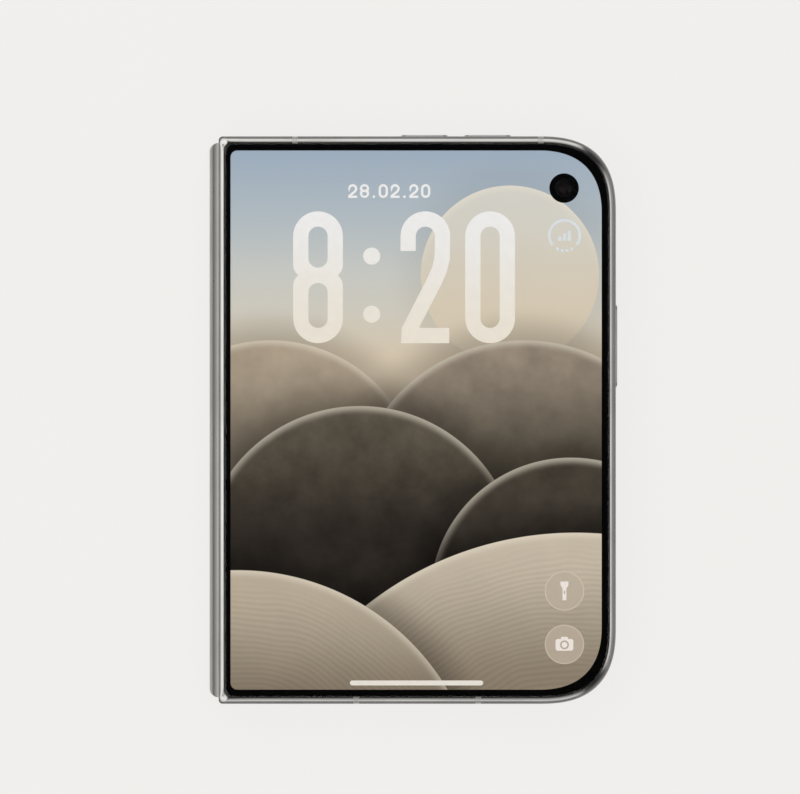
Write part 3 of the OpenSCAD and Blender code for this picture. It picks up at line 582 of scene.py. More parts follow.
# places along the straight edge, among them both sides of each gap there; the gap at the
# corner ends where the bend has gone one gap's width
BREAK_SIDES = [x + s * BREAK_W / 2 for x in TOP_BREAKS[:1] + BOTTOM_BREAKS for s in (-1, 1)]
ALONG = sorted([6, 11, 22, 36, 42, 48, 61] + BREAK_SIDES)
break_end = math.degrees(math.asin((BREAK_W / CORNER) ** (CORNER_POWER / 2)))
BEND = [i * 90 / BEND_STEPS for i in range(2, BEND_STEPS - 1)]
BEND = [0, break_end] + BEND + [90 - break_end, 90]


def outline(inset=0.0, fold_in=None, fold_r=None, corner=None):
    """Points (x, y) of the outline, moved in by `inset` at the three outer edges and by
    `fold_in` at the fold. `corner` sizes the free corners afresh instead of moving them in."""
    fold_in = inset if fold_in is None else fold_in
    fold_r = FOLD_CORNER if fold_r is None else fold_r
    top = HALF_H - inset
    half = []
    for i in range(FOLD_STEPS + 1):
        a = math.pi - math.pi / 2 * i / FOLD_STEPS
        half.append((fold_in + fold_r + fold_r * math.cos(a), top - fold_r + fold_r * math.sin(a)))
    half += [(x, top) for x in ALONG]
    size, moved = (corner, inset) if corner else (CORNER, 0.0)
    for t in (math.radians(t) for t in BEND):
        u, v = (max(w, 0.0) ** (2 / CORNER_POWER) for w in (math.sin(t), math.cos(t)))
        nx, ny = u ** (CORNER_POWER - 1), v ** (CORNER_POWER - 1)
        slip = (inset - moved) / math.hypot(nx, ny)
        half.append((HALF_W - moved - size + size * u - nx * slip,
                     HALF_H - moved - size + size * v - ny * slip))
    return half + [(x, -y) for x, y in reversed(half)]


rim = outline()
print(len(rim), "points round the outline")

# %% [markdown]
# ## Metal band
# The band is a profile that runs round the outline: side wall, rounded shoulder, flat lip and
# the seat for the glass. At the fold the shoulder is small and the lip slopes a little, which
# is why that edge catches the light. The slope goes on round most of the fold's corners. Two
# gaps at the top and two at the bottom are filled with plastic, so that the aerials work, so
# the profile is skinned in runs.

# %% Profile of the band
SHOULDER, SHOULDER_IN, SHOULDER_TURN, SHOULDER_STEPS = 1.2, 1.42, math.radians(86), 12
RIM_ROUND, RIM_STEPS, WALL = 0.4, 6, 2.4
FOLD_ROUND, LIP_TILT, TILT_HELD = 0.84, math.radians(14.4), 0.45
LIP, FOLD_LIP = 1.5, 1.4


def band_profile():
    """Pairs of ((inset, z) on the outer sides, (inset, z) at the fold)."""
    low = [((WALL, INNER_Z), (WALL, INNER_Z))]
    for i in range(RIM_STEPS + 1):
        a = math.pi / 2 * i / RIM_STEPS
        p = (RIM_ROUND * (1 - math.sin(a)), INNER_Z + RIM_ROUND * (1 - math.cos(a)))
        low.append((p, p))
    end = FOLD_ROUND * (1 - math.sin(LIP_TILT))
    fold_top = OUTER_Z - (FOLD_LIP - 0.12 - end) * math.tan(LIP_TILT)
    for i in range(SHOULDER_STEPS + 1):
        a = SHOULDER_TURN * i / SHOULDER_STEPS
        b = (math.pi / 2 - LIP_TILT) * i / SHOULDER_STEPS
        low.append(((SHOULDER_IN * (1 - math.cos(a)), OUTER_Z - SHOULDER + SHOULDER * math.sin(a)),
                    (FOLD_ROUND * (1 - math.cos(b)),
                     fold_top - FOLD_ROUND * (math.cos(LIP_TILT) - math.sin(b)))))
    # the lip with its finely broken edge, then down to the seat of the glass
    return low + [((LIP - 0.07, OUTER_Z), (FOLD_LIP - 0.12, OUTER_Z)),
                  ((LIP - 0.03, OUTER_Z - 0.005), (FOLD_LIP - 0.04, OUTER_Z - 0.01)),
                  ((LIP, OUTER_Z - 0.05), (FOLD_LIP, OUTER_Z - 0.06)),
                  ((LIP, GLASS_Z), (FOLD_LIP, GLASS_Z)),
                  ((WALL, GLASS_Z), (WALL, GLASS_Z))]


print(len(band_profile()), "points in the profile")

# %% The profile round the outline, in runs
def band_rows():
    """The profile at each point of the outline, as rows of (x, y, z)."""
    columns = []
    for (inset, z), (fold_in, fold_z) in band_profile():
        corner = FOLD_CORNER + (PANE_FOLD_CORNER - FOLD_CORNER) * min(inset / LIP, 1.0)
        points = outline(inset, fold_in, corner)
        last = len(points) - 1
        column = []
        for j, (x, y) in enumerate(points):
            share = (min(j, last - j) / FOLD_STEPS - TILT_HELD) / (1 - TILT_HELD)
            share = min(max(share, 0.0), 1.0)
            column.append((x, y, fold_z + (z - fold_z) * share * share * (3 - 2 * share)))
        columns.append(column)
    return [list(row) for row in zip(*columns)]


def is_break(j):
    """Whether the stretch from outline point j to the next one is a plastic gap."""
    (x0, y), (x1, _) = rim[j], rim[(j + 1) % len(rim)]
    centres = TOP_BREAKS if y > 0 else BOTTOM_BREAKS
    near = any(abs((x0 + x1) / 2 - c) < BREAK_W / 2 for c in centres)
    return near and abs(y) > HALF_H - 0.3


def runs():
    """Splits the outline into metal and plastic stretches, as lists of point numbers."""
    kinds = [is_break(j) for j in range(len(rim))]
    start = next(j for j in range(len(rim)) if kinds[j] != kinds[j - 1])
    metal, plastic, stretch = [], [], [start]
    for step in range(len(rim)):
        j = (start + step) % len(rim)
        following = (j + 1) % len(rim)
        stretch.append(following)
        if kinds[following] != kinds[j] or step == len(rim) - 1:
            (plastic if kinds[j] else metal).append(stretch)
            stretch = [following]
    return metal, plastic


rows = band_rows()
metal_runs, plastic_runs = runs()
print(len(metal_runs), "metal runs and", len(plastic_runs), "gaps")

# %% [markdown]
# ## Both halves' frames
# Each frame is the band, a floor between the batteries and the inner screen, and the wall
# next to the hinge. The room that the hinge needs at the fold is cut out with a boolean.

# %% Band, floor and hinge wall
HINGE_ROOM_X, HINGE_ROOM_Y, HINGE_ROOM_Z = 3.6, 59.2, 4.3
FLOOR_Z0, FLOOR_Z1, UNDER_GLASS = 0.6, 1.0, 0.45
HINGE_WALL_X0, HINGE_WALL_X1, SINK = 3.6, 4.6, 0.05


def run_shells(stretches, side):
    return place_all([skin([rows[j] for j in run]) for run in stretches], side)


def band_piece(name, side):
    piece = make_piece(name, run_shells(metal_runs, side), band_metal)
    room = box_shell(-1, HINGE_ROOM_X, -HINGE_ROOM_Y, HINGE_ROOM_Y, -1, HINGE_ROOM_Z)
    return cut(piece, make_piece("hinge_room", place_all([room], side), band_metal))


def add_floor(piece, side):
    """Adds the floor and the wall by the hinge once all openings of the band are cut."""
    reach = HALF_H - WALL + SINK
    line = outline(WALL - SINK, HINGE_WALL_X0 + SINK, 1.0)
    plate = skin([[(x, y, z) for x, y in line] for z in (FLOOR_Z0, FLOOR_Z1)])
    wall = box_shell(HINGE_WALL_X0, HINGE_WALL_X1, -reach, reach,
                     FLOOR_Z1 - SINK, GLASS_Z - UNDER_GLASS)
    return join(piece, make_piece("floor_and_wall", place_all([plate, wall], side), band_metal))


front_band = add_floor(band_piece("front_band", FRONT), FRONT)
rear_band = band_piece("rear_band", REAR)
dress(front_band, "front_half", "polished_metal", "front_frame")

# %% [markdown]
# ## Openings in the rear band
# The rear half has the keys, the charging port and rows of sound holes. Each opening is a
# rounded slot, so one function makes the cutter for all of them from a middle, a length and a
# width. A key's slot is narrow at the surface and wider inside, where its flange moves.

# %% Pills, and skins over them
def on_circle(x, y, r, a):
    return x + r * math.cos(a), y + r * math.sin(a)


def quarter(steps):
    """How far in and how far up a rounded edge has come at each step, as shares."""
    angles = [math.pi / 2 * i / steps for i in range(steps + 1)]
    return [(1 - math.cos(a), math.sin(a)) for a in angles]


def pill(length, width, steps=10):
    """Points of a slot with round ends, about the origin."""
    r, reach = width / 2, (length - width) / 2
    return [on_circle(x, 0, r, math.radians(a + 180 * i / steps))
            for x, a in ((reach, -90), (-reach, 90)) for i in range(steps + 1)]


def stack(levels, place, steps=10):
    """Skins pill sections: levels are (length, width, out), and place puts (along, across,
    out) into the model in mm."""
    return skin([[place(u, v, out) for u, v in pill(length, width, steps)]
                 for length, width, out in levels])


def slot(length, width, deep, out, place, steps=10):
    return stack([(length, width, deep), (length, width, out)], place, steps)


def top_side(x, z):
    return lambda u, v, out: (x + u, MID_Y + HALF_H + out, z + v)


def bottom_side(x, z):
    return lambda u, v, out: (x + u, MID_Y - HALF_H - out, z + v)


def free_side(y, z):
    return lambda u, v, out: (FOLD_X + HALF_W + out, y + u, z + v)


print("a pill has", len(pill(2, 1)), "points")

# %% Slots for the keys and the port
KEY_W, KEY_FLANGE, KEY_GAP, KEY_OUT, KEY_ROUND, PAST = 2.2, 0.5, 0.06, 0.35, 0.22, 1
SLOT_DEEP, FLANGE_DEEP, FLANGE_ROOM, PORT_GAP, PORT_DEEP = -1.4, -3.2, 0.5, 0.05, -8
KEY_INNER = -(HALF_H - (box_mm("volume_up_key")[0][1] - MID_Y))
key_z = middle("power_key")[2]
keys = []
for node, side, axis in (("volume_up_key", top_side, 0), ("volume_down_key", top_side, 0),
                         ("power_key", free_side, 1)):
    low, high = box_mm(node)
    length = high[axis] - low[axis] - 2 * KEY_FLANGE
    keys.append((node, side(middle(node)[axis], key_z), axis, length))
port_low, port_high = box_mm("port_shell")
port_x, _, port_z = middle("port_shell")
port_l, port_h = port_high[0] - port_low[0], port_high[2] - port_low[2]
slots = []
for _, place, _, length in keys:
    slots.append(slot(length + 2 * KEY_GAP, KEY_W + 2 * KEY_GAP, SLOT_DEEP, PAST, place))
    wider = 2 * KEY_FLANGE + 2 * KEY_GAP
    slots.append(slot(length + wider, KEY_W + wider, FLANGE_DEEP, KEY_INNER + FLANGE_ROOM, place))
port_place = bottom_side(port_x, port_z)
slots.append(slot(port_l + PORT_GAP, port_h + PORT_GAP, PORT_DEEP, PAST, port_place))
cut(rear_band, make_piece("slots", slots, band_metal))
print(len(slots), "slots; keys are", [round(key[3], 2) for key in keys], "mm long")

# %% [markdown]
# ### Sound holes, by Geometry Nodes
# A node tree lays points on a line and puts a bore on each. The sizes are inputs of the tree,
# so the same tree makes the rows on both sides of the port. Each result becomes a plain mesh
# and is cut away. Three short functions start a tree, end it and run it.

# %% Start, end and run a tree
def new_tree(name, *sizes, **counts):
    """An empty Geometry Nodes tree with named inputs; gives the graph and the inputs."""
    tree = bpy.data.node_groups.new(name, "GeometryNodeTree")
    tree.interface.new_socket(name="Geometry", in_out="OUTPUT", socket_type="NodeSocketGeometry")
    for label in (*counts, *sizes):
        kind = "NodeSocketInt" if label in counts else "NodeSocketFloat"
        made = tree.interface.new_socket(name=label, in_out="INPUT", socket_type=kind)
        made.default_value = counts.get(label, 0.0)
    entry = tree.nodes.new("NodeGroupInput")
    graph = Graph(tree)
    return graph, {label: Signal(graph, entry.outputs[label]) for label in (*counts, *sizes)}


def end_tree(graph, shape, finish):
    """Ends a tree: copies become real faces with a finish, because the export needs them so."""
    real = graph.node("GeometryNodeRealizeInstances", None, {0: shape})
    done = graph.node("GeometryNodeSetMaterial", None, {"Geometry": real, "Material": finish})
    leave = graph.tree.nodes.new("NodeGroupOutput")
    graph.tree.links.new(done.socket, leave.inputs[0])


def grow(name, graph, sizes):
    """Runs a tree with sizes in mm and whole counts, and keeps the result as a plain mesh."""
    piece = add_object(name, bpy.data.meshes.new(name + "_seed"))
    maker = piece.modifiers.new("grow", "NODES")
    maker.node_group = graph.tree
    for item in graph.tree.interface.items_tree:
        if item.in_out == "INPUT":
            scale = 1 if item.socket_type == "NodeSocketInt" else MM
            maker[item.identifier] = sizes[item.name] * scale
    mesh = evaluated_mesh(piece)
    piece.modifiers.clear()
    piece.data = mesh
    return join(piece, cleaned=True)


print("sizes go into a tree in metres, so 1 mm goes in as", MM)

# %% Row of bores on each side of the port
SOUND_R, SOUND_PITCH, SOUND_FIRST, SOUND_COUNT, BORE_SIDES, BORE_DEEP = 0.5, 1.7, 6.02, 4, 28, 4
graph, size = new_tree("bore_row", "Pitch", "Radius", "Depth", "Start", "Y", "Z", Count=SOUND_COUNT)
line = graph.node("GeometryNodeMeshLine", {"mode": "OFFSET"}, {
    "Count": size["Count"], "Start Location": graph.vector(size["Start"], size["Y"], size["Z"]),
    "Offset": graph.vector(size["Pitch"])})
bore = graph.node("GeometryNodeMeshCylinder", None, {
    "Vertices": BORE_SIDES, "Radius": size["Radius"], "Depth": size["Depth"]})
bore = graph.node("GeometryNodeTransform", None, {0: bore, "Rotation": (math.pi / 2, 0, 0)})
copies = graph.node("GeometryNodeInstanceOnPoints", None, {"Points": line, "Instance": bore})
end_tree(graph, copies, band_metal)
reach = (SOUND_COUNT - 1) * SOUND_PITCH
for start in (port_x - SOUND_FIRST - reach, port_x + SOUND_FIRST):
    cut(rear_band, grow("bores", graph, {
        "Count": SOUND_COUNT, "Pitch": SOUND_PITCH, "Radius": SOUND_R, "Depth": BORE_DEEP,
        "Start": start, "Y": MID_Y - HALF_H, "Z": port_z}))
dress(add_floor(rear_band, REAR), "rear_half", "polished_metal", "rear_frame")
print(2 * SOUND_COUNT, "sound holes")

# %% [markdown]
# ## Plastic gaps in the band
# The gap fillers are moulded in a plastic that matches the metal, a little lighter and duller.

# %% Gap fillers
def gap_plastic(name):
    """Grey plastic with metal flakes; its side is painted darker than its shoulder, as painted
    shade.
    """
    f = Finish(name)
    fine = f.noise(8.0)
    height = (f.axes()[2] - SHUT_Z).size()
    shoulder = height.rise(OUTER_Z - 1.3, OUTER_Z - 0.8)
    # painted shade: the side's colour is darker than the shoulder's
    colour = f.mix(shoulder, tint(158, 157, 154), tint(184, 183, 179))
    return f.coat(Base_Color=f.mix(fine.span(0.0, 0.1), colour, tint(150, 149, 146)), Metallic=0.8,
                  Roughness=fine.span(0.24, 0.32), Normal=f.bump(fine, 0.2, 0.004))


break_plastic = gap_plastic("break_plastic")
for half, side in (("front", FRONT), ("rear", REAR)):
    fillers = make_piece(half + "_breaks", run_shells(plastic_runs, side), break_plastic)
    dress(fillers, half + "_half", "antenna_plastic", half + "_antenna_breaks")

# %% [markdown]
# ## Glass panes and the border
# A pane is one plate with a finely rounded upper edge, so that light runs along it. Between
# the cover pane and the screen lies the black border: a thin frame of ink whose inner line
# is the lit area, with tight corners at the fold and wide soft ones at the free edge.

# %% Cover pane and border
PANE_GAP, PANE_EDGE, TOP_IN, PANE_STEPS = 0.05, 0.18, 0.12, 5
INK_Z0, INK_Z1, INK_IN, MARK_Z0, MARK_Z1, PANE_Z0 = 0.004, 0.02, 0.12, 0.006, 0.024, 0.045
LIT_INSET, LIT_FOLD, LIT_FOLD_R, LIT_CORNER = 3.0, 2.56, 1.5, 14.7


def pane_piece(name, side, finish, bottom):
    """A pane skinned over its outline at several levels, from its underside to its face."""
    levels = [(0.0, bottom)]
    levels += [(PANE_EDGE * shrink, OUTER_Z - PANE_EDGE + PANE_EDGE * rise)
               for shrink, rise in quarter(PANE_STEPS)]
    sections = []
    for d, z in levels + [(PANE_EDGE + TOP_IN, OUTER_Z)]:
        corner = max(PANE_FOLD_CORNER - PANE_GAP - d, 0.3)
        line = outline(LIP + PANE_GAP + d, FOLD_LIP + PANE_GAP + d, corner)
        sections.append(seat([(x, y, z) for x, y in line], side))
    return make_piece(name, [skin(sections)], finish, 50)


cover_pane = pane_piece("cover_pane", FRONT, pane_glass, GLASS_Z + PANE_Z0)
dress(cover_pane, "front_half", "cover_glass", "cover_glass")
outer_line = outline(LIP + INK_IN, FOLD_LIP + INK_IN, PANE_FOLD_CORNER - INK_IN)
lit_line = outline(LIT_INSET, LIT_FOLD, LIT_FOLD_R, LIT_CORNER)
low, high = GLASS_Z + INK_Z0, GLASS_Z + INK_Z1
ring = [[(*a, low), (*b, low), (*b, high), (*a, high)] for a, b in zip(outer_line, lit_line)]
border = make_piece("cover_border", place_all([skin(ring, loop=True)], FRONT), border_ink)
dress(border, "front_half", "cover_glass")

# %% [markdown]
# ## Back pane and plateau
# The back pane has a hole for the camera plateau, a long block with round ends that carries
# two lenses and a lamp. Its upper edge is rounded, and its foot has a flange under the pane.

# %% Back pane with its hole
PLATEAU_L, PLATEAU_W, PLATEAU_EDGE, PLATEAU_GAP, END_STEPS = 46.0, 18.0, 0.8, 0.1, 40
plateau_low, plateau_high = box_mm("camera_plateau")
plateau_x, plateau_y, _ = middle("camera_plateau")


def on_plateau(u, v, out):
    """Places (along, across, out), out from the back glass, about the plateau's middle."""
    return plateau_x + u, plateau_y + v, SHUT_Z - OUTER_Z - out


back_pane = pane_piece("back_pane", REAR, back_etched, GLASS_Z)
hole = slot(PLATEAU_L + PLATEAU_GAP, PLATEAU_W + PLATEAU_GAP, -2, PAST, on_plateau, END_STEPS)
cut(back_pane, make_piece("plateau_hole", [hole], back_etched), 50)
dress(back_pane, "rear_half", "back_glass", "back_glass")

# %% [markdown]
# ### Plateau
# The block is the same pill skinned at many levels: the wide flange, the straight side, the
# rounding in nine small steps and the flat top. Then the wells of the lenses and of the lamp
# are cut into it.

# %% Block with its wells
EDGE_STEPS, FLAT_IN, WELL_GAP, WELL_PAST = 8, 0.4, 0.02, 4
flange = plateau_high[0] - plateau_low[0] - PLATEAU_L
foot = GLASS_Z - OUTER_Z
plateau_out = PLATEAU_Z - OUTER_Z
levels = [(flange, foot - (plateau_high[2] - SHUT_Z + GLASS_Z)), (flange, foot - 0.02),
          (0, foot - 0.01)]
levels += [(-2 * PLATEAU_EDGE * shrink, plateau_out - PLATEAU_EDGE * (1 - rise))
           for shrink, rise in quarter(EDGE_STEPS)]
levels += [(-2 * PLATEAU_EDGE - FLAT_IN, plateau_out)]
levels = [(PLATEAU_L + more, PLATEAU_W + more, out) for more, out in levels]
plateau = make_piece("camera_block", [stack(levels, on_plateau, END_STEPS)], plateau_etched, 50)
rings_low, rings_high = box_mm("lens_rings")
ring_r = (rings_high[1] - rings_low[1]) / 2
lens_y = middle("lens_rings")[1]
lens_xs = (rings_low[0] + ring_r, rings_high[0] - ring_r)
flash_low, flash_high = box_mm("flash_lens")
flash_x, flash_r = middle("flash_lens")[0], (flash_high[0] - flash_low[0]) / 2
well_z = SHUT_Z - OUTER_Z + WELL_PAST
wells = [turn([(0, -1), (r + WELL_GAP, -1), (r + WELL_GAP, well_z), (0, well_z)], x, lens_y)
         for x, r in [(x, ring_r) for x in lens_xs] + [(flash_x, flash_r)]]
cut(plateau, make_piece("lens_bores", wells, plateau_etched), 50)
dress(plateau, "rear_half", "plateau", "camera_plateau")
print("plateau stands", round(plateau_out, 2), "mm out; lenses at x", lens_xs)

# %% [markdown]
# ### Lens rings, lenses and barrels
# Round things are turned: a profile of radius and height goes round the axis. The ring has a
# bevelled lip, the barrel behind the glass steps down in fine black grooves, and a domed
# lens inside carries the coloured sheen of its coating as a painted glint in its colour.

# %% Turned profiles
BARREL_STEPS, BARREL_END, STEPS_SHARE, SEAT_SHARE = 5, 1.9, 0.32, 0.36


def arc(radius, z, bend, start, end, steps=5):
    """Points of an arc in a turned profile, about (radius, z); angles in degrees."""
    return [on_circle(radius, z, bend, math.radians(start + (end - start) * i / steps))
            for i in range(steps + 1)]


def dome(radius, z, rise, steps=8):
    """Profile of a domed lens whose face rises from z by `rise`, with a flat back."""
    bow = (radius ** 2 + rise ** 2) / (2 * abs(rise))
    side = 1 if rise > 0 else -1
    half = math.asin(radius / bow)
    face = [(bow * math.sin(a), z + rise - side * bow * (1 - math.cos(a)))
            for a in (half * i / steps for i in range(steps + 1))]
    return face + [(radius, z - side * 0.25), (0, z - side * 0.25)]


def barrel_profile(radius, top, bottom):
    """A black well that steps down from its rim to a lens seat."""
    profile = [(0, bottom), (radius, bottom), (radius, top)]
    inner, step = radius - 0.35, (bottom - top) * STEPS_SHARE / BARREL_STEPS
    for i in range(BARREL_STEPS):
        r = inner + (BARREL_END - inner) * i / BARREL_STEPS
        profile += [(r, top + step * i), (r - 0.06, top + step * (i + 1))]
    seat_z = top + (bottom - top) * SEAT_SHARE
    return profile + [(BARREL_END - 0.1, seat_z), (0, seat_z)]


def per_lens(profile, steps=96):
    return [turn(profile, x, lens_y, steps) for x in lens_xs]


print("a lens ring is", round(2 * ring_r, 2), "mm across")

# %% Painted lens glints and blackened metal
EYE_R, EYE_RISE = 1.75, 0.45


def lens_with_painted_glint(name, colour, edge, radius, *spots):
    """Dark glass with a painted glint: its colour is lighter in the middle of each lens, a painted
    reflection of the coating's sheen; the lenses stand at the `spots`, given as (x, y)."""
    f = Finish(name)
    x, y, _ = f.axes()
    flat = f.vector(x, y)
    away, *others = [f.distance(flat, (*spot, 0.0)) for spot in spots]
    for other in others:
        away = away.low(other)
    return f.coat(Base_Color=f.mix(away.rise(radius * 0.1, radius), colour, edge), Metallic=0.4,
                  Roughness=f.noise(0.3).span(0.32, 0.42), Specular_IOR_Level=0.15)


def grooved_black(name):
    """Blackened metal with fine turned rings, which lie in layers of height."""
    f = Finish(name)
    fine = f.noise(5.0, f.stretch(1, 1, 6))
    colour = f.mix(fine.rise(0.35, 0.7), (0.001, 0.001, 0.0012, 1), (0.004, 0.0035, 0.004, 1))
    return f.coat(Base_Color=colour, Roughness=fine.span(0.5, 0.65), Specular_IOR_Level=0.04,
                  Normal=f.bump(fine, 0.3, 0.01))


ring_metal = polished_metal("ring_metal", tint(190, 188, 185), tint(182, 180, 177), 0.1)
barrel_black = grooved_black("barrel_black")
# the lighter purple in the middle of each lens is a painted glint
lens_coating = lens_with_painted_glint("lens_coating", (0.05, 0.04, 0.09, 1), (0.01, 0.008, 0.012, 1), EYE_R,
                           *[(x, lens_y) for x in lens_xs])
print("one metal, one black and one coating")

# %% Rings, windows, barrels and lenses
RING_WALL, RING_BEVEL, RING_ROUND = 1.0, 0.3, 0.25
WINDOW_EDGE, WINDOW_GAP, BARREL_DEEP = 0.12, 0.02, 4.0

ring_z, ring_in = SHUT_Z - RING_Z, ring_r - RING_WALL
ring_profile = [(ring_in, rings_high[2]), (ring_r, rings_high[2])] \
    + arc(ring_r - RING_ROUND, ring_z + RING_ROUND, RING_ROUND, 0, -90) \
    + arc(ring_in + RING_BEVEL, ring_z + RING_BEVEL, RING_BEVEL, -90, -180)
bezels = make_piece("lens_bezels", per_lens(ring_profile), ring_metal)
dress(bezels, "rear_half", "lens_ring", "lens_rings")
glass_low, glass_high = box_mm("lens_glasses")
glass_r, glass_back = ring_in - WINDOW_GAP, glass_high[2] - WINDOW_GAP
glass_profile = [(0, glass_low[2])] \
    + arc(glass_r - WINDOW_EDGE, glass_low[2] + WINDOW_EDGE, WINDOW_EDGE, -90, 0) \
    + [(glass_r, glass_back), (0, glass_back)]
windows = make_piece("lens_windows", per_lens(glass_profile), lens_glass)
dress(windows, "rear_half", "lens_glass", "lens_glasses")
barrel_top = glass_high[2] + WINDOW_GAP
blocks = [box_shell(x - ring_r, x + ring_r, lens_y - ring_r, lens_y + ring_r,
                    rings_high[2] + 0.1, box_mm("camera_modules")[1][2]) for x in lens_xs]
barrels = per_lens(barrel_profile(ring_in - 0.4, barrel_top, BARREL_DEEP))
modules = make_piece("lens_barrels", barrels + blocks, barrel_black)
dress(modules, "rear_half", "black_barrel", "camera_modules")
eye_z = barrel_top + (BARREL_DEEP - barrel_top) * SEAT_SHARE - 0.12
eyes = make_piece("lens_eyes", per_lens(dome(EYE_R, eye_z, -EYE_RISE), 64), lens_coating)
dress(eyes, "rear_half", "lens_glass")

# %% [markdown]
# ### Lamp on the plateau
# The lamp's cover is milky and has fine round ridges, which spread its light. Two square
# yellow dies lie under it. They show as blurred patches of colour, so they are drawn in the
# finish and need no mesh.

# %% Ridged cover
DIE_OFF, RIDGES, RIDGE_PITCH, RIDGE_UP = 0.62, 5, 0.34, 0.09


def lamp_finish(name, dies):
    """A milky ridged cover with two yellow light dies showing through it."""
    f = Finish(name)
    x, y, _ = f.axes()
    colour = tint(236, 233, 222)
    for die_x, die_y in dies:
        off = (x - die_x).size().high((y - die_y).size())
        colour = f.mix(off.rise(0.45, 0.75, 1.0, 0.0), colour, tint(238, 205, 92))
    fine = f.noise(5.0)
    return f.coat(Base_Color=colour, Roughness=fine.span(0.16, 0.24), Coat_Weight=0.6,
                  Normal=f.bump(fine, 0.25, 0.004))


lamp_cover = lamp_finish("lamp_cover", [(flash_x + s * DIE_OFF, lens_y) for s in (-1, 1)])
crest = flash_low[2] + 0.01
ridges = [(0, crest + RIDGE_UP)]
for i in range(RIDGES):
    r = 0.25 + i * RIDGE_PITCH
    ridges += [(r, crest + RIDGE_UP), (r + RIDGE_PITCH / 2, crest)]
ridges += [(flash_r - 0.05, flash_low[2] + 0.02), (flash_r, flash_low[2] + 0.08),
           (flash_r, flash_high[2]), (0, flash_high[2])]
lamp = make_piece("torch_lens", [turn(ridges, flash_x, lens_y, 64)], lamp_cover, 60)
dress(lamp, "rear_half", "flash", "flash_lens")

# %% [markdown]
# ## Keys
# A key is a long pill that stands a little out of the band, with a wider flange inside so that
# it can't fall out. The touch face has a rounded edge and a faint crown. At its round ends a
# mask darkens the metal: painted shade, for the gap there.

# %% Three keys
END_SHADE_FROM, END_SHADE_TO, FLANGE_T, CROWN_IN, CROWN, KEY_STEPS = 1.1, 0.5, 0.3, 1.4, 0.03, 5
silver = tint(200, 198, 195)


def painted_end_shade(centre, axis, length):
    """A mask of painted shade on the flanks of a key's round ends."""
    def mask(f):
        place = f.axes()
        along, across = (place[axis] - centre[axis]).size(), (place[2] - centre[2]).size()
        return along.rise(length / 2 - END_SHADE_FROM, length / 2 - END_SHADE_TO) \
            * across.rise(KEY_W / 2 - 0.4, KEY_W / 2 - 0.1)
    return mask


for node, place, axis, length in keys:
    end_shade = painted_end_shade(place(0, 0, 0), axis, length)
    # each key's metal gets painted shade at its round ends
    key_metal = polished_metal(node + "_metal", silver, silver, 0.2, shade=end_shade)
    levels = [(2 * KEY_FLANGE, KEY_INNER), (2 * KEY_FLANGE, KEY_INNER + FLANGE_T - 0.01),
              (0, KEY_INNER + FLANGE_T)]
    levels += [(-2 * KEY_ROUND * shrink, KEY_OUT - CROWN - KEY_ROUND + KEY_ROUND * rise)
               for shrink, rise in quarter(KEY_STEPS)]
    levels += [(-CROWN_IN, KEY_OUT)]
    shell = stack([(length + more, KEY_W + more, out) for more, out in levels], place)
    key = make_piece(node.replace("_key", "_button"), [shell], key_metal, 50)
    dress(key, node.replace("_key", ""), "key_metal", node)

# %% [markdown]
# ## Spine, by Geometry Nodes
# The spine is one rule: a half-round section with a straight middle, drawn along the fold,
# and rounded off at both ends in plan. That suits Geometry Nodes. A circle's points are moved
# to the section by their number, the section is swept along a line, and then each point is
# pushed in to the rounded plan. All sizes are inputs of the tree. The bars of the hinge's
# arms swing out through four notches, which the halves hide when the phone is shut.

# %% Section, path and sweep
spine_low, spine_high = box_mm("spine_cover")
AXIS_X = spine_high[0] - FOLD_X
SPINE_R = AXIS_X - (spine_low[0] - FOLD_X)
SPINE_RISE = (spine_high[2] - spine_low[2]) / 2 - SPINE_R
SPINE_HALF = (spine_high[1] - spine_low[1]) / 2
SPINE_WALL, SPINE_END_R, SPINE_BLEND, SECTION, STATIONS = 0.6, 2.0, 0.4, 64, 140

graph, size = new_tree("spine_rule", "Radius", "Rise", "Half length", "Wall", "End radius", "Blend",
                       "Axis x", "Middle y", "Middle z")
index = graph.node("GeometryNodeInputIndex")
wall = index.maths("GREATER_THAN", index, SECTION - 0.5)
turned = (index - wall * SECTION) / (SECTION - 1) - 0.5
angle = turned * math.pi * (1 - wall * 2.0)
bow = size["Radius"] - wall * size["Wall"]
flat = graph.vector(angle.cosine() * bow, angle.sine() * bow + angle.sign() * size["Rise"])
# any circle will do, because each of its points is moved
circle = graph.node("GeometryNodeCurvePrimitiveCircle", None,
                    {"Resolution": 2 * SECTION, "Radius": MM})
section = graph.node("GeometryNodeSetPosition", None, {"Geometry": circle, "Position": flat})
section = graph.node("GeometryNodeStoreNamedAttribute", {"data_type": "FLOAT", "domain": "POINT"},
                     {"Geometry": section, "Name": "inner", "Value": wall})
line = graph.node("GeometryNodeMeshLine", None, {"Count": STATIONS})
march = (index / (STATIONS - 1) * 2.0 - 1.0) * (math.pi / 2)
path = graph.node("GeometryNodeSetPosition", None, {
    "Geometry": line, "Position": graph.vector(0.0, march.sine() * size["Half length"])})
path = graph.node("GeometryNodeMeshToCurve", None, {0: path})
tube = graph.node("GeometryNodeCurveToMesh", None, {
    "Curve": path, "Profile Curve": section, "Fill Caps": True})
print("a section of", 2 * SECTION, "points is swept over", STATIONS, "stations")

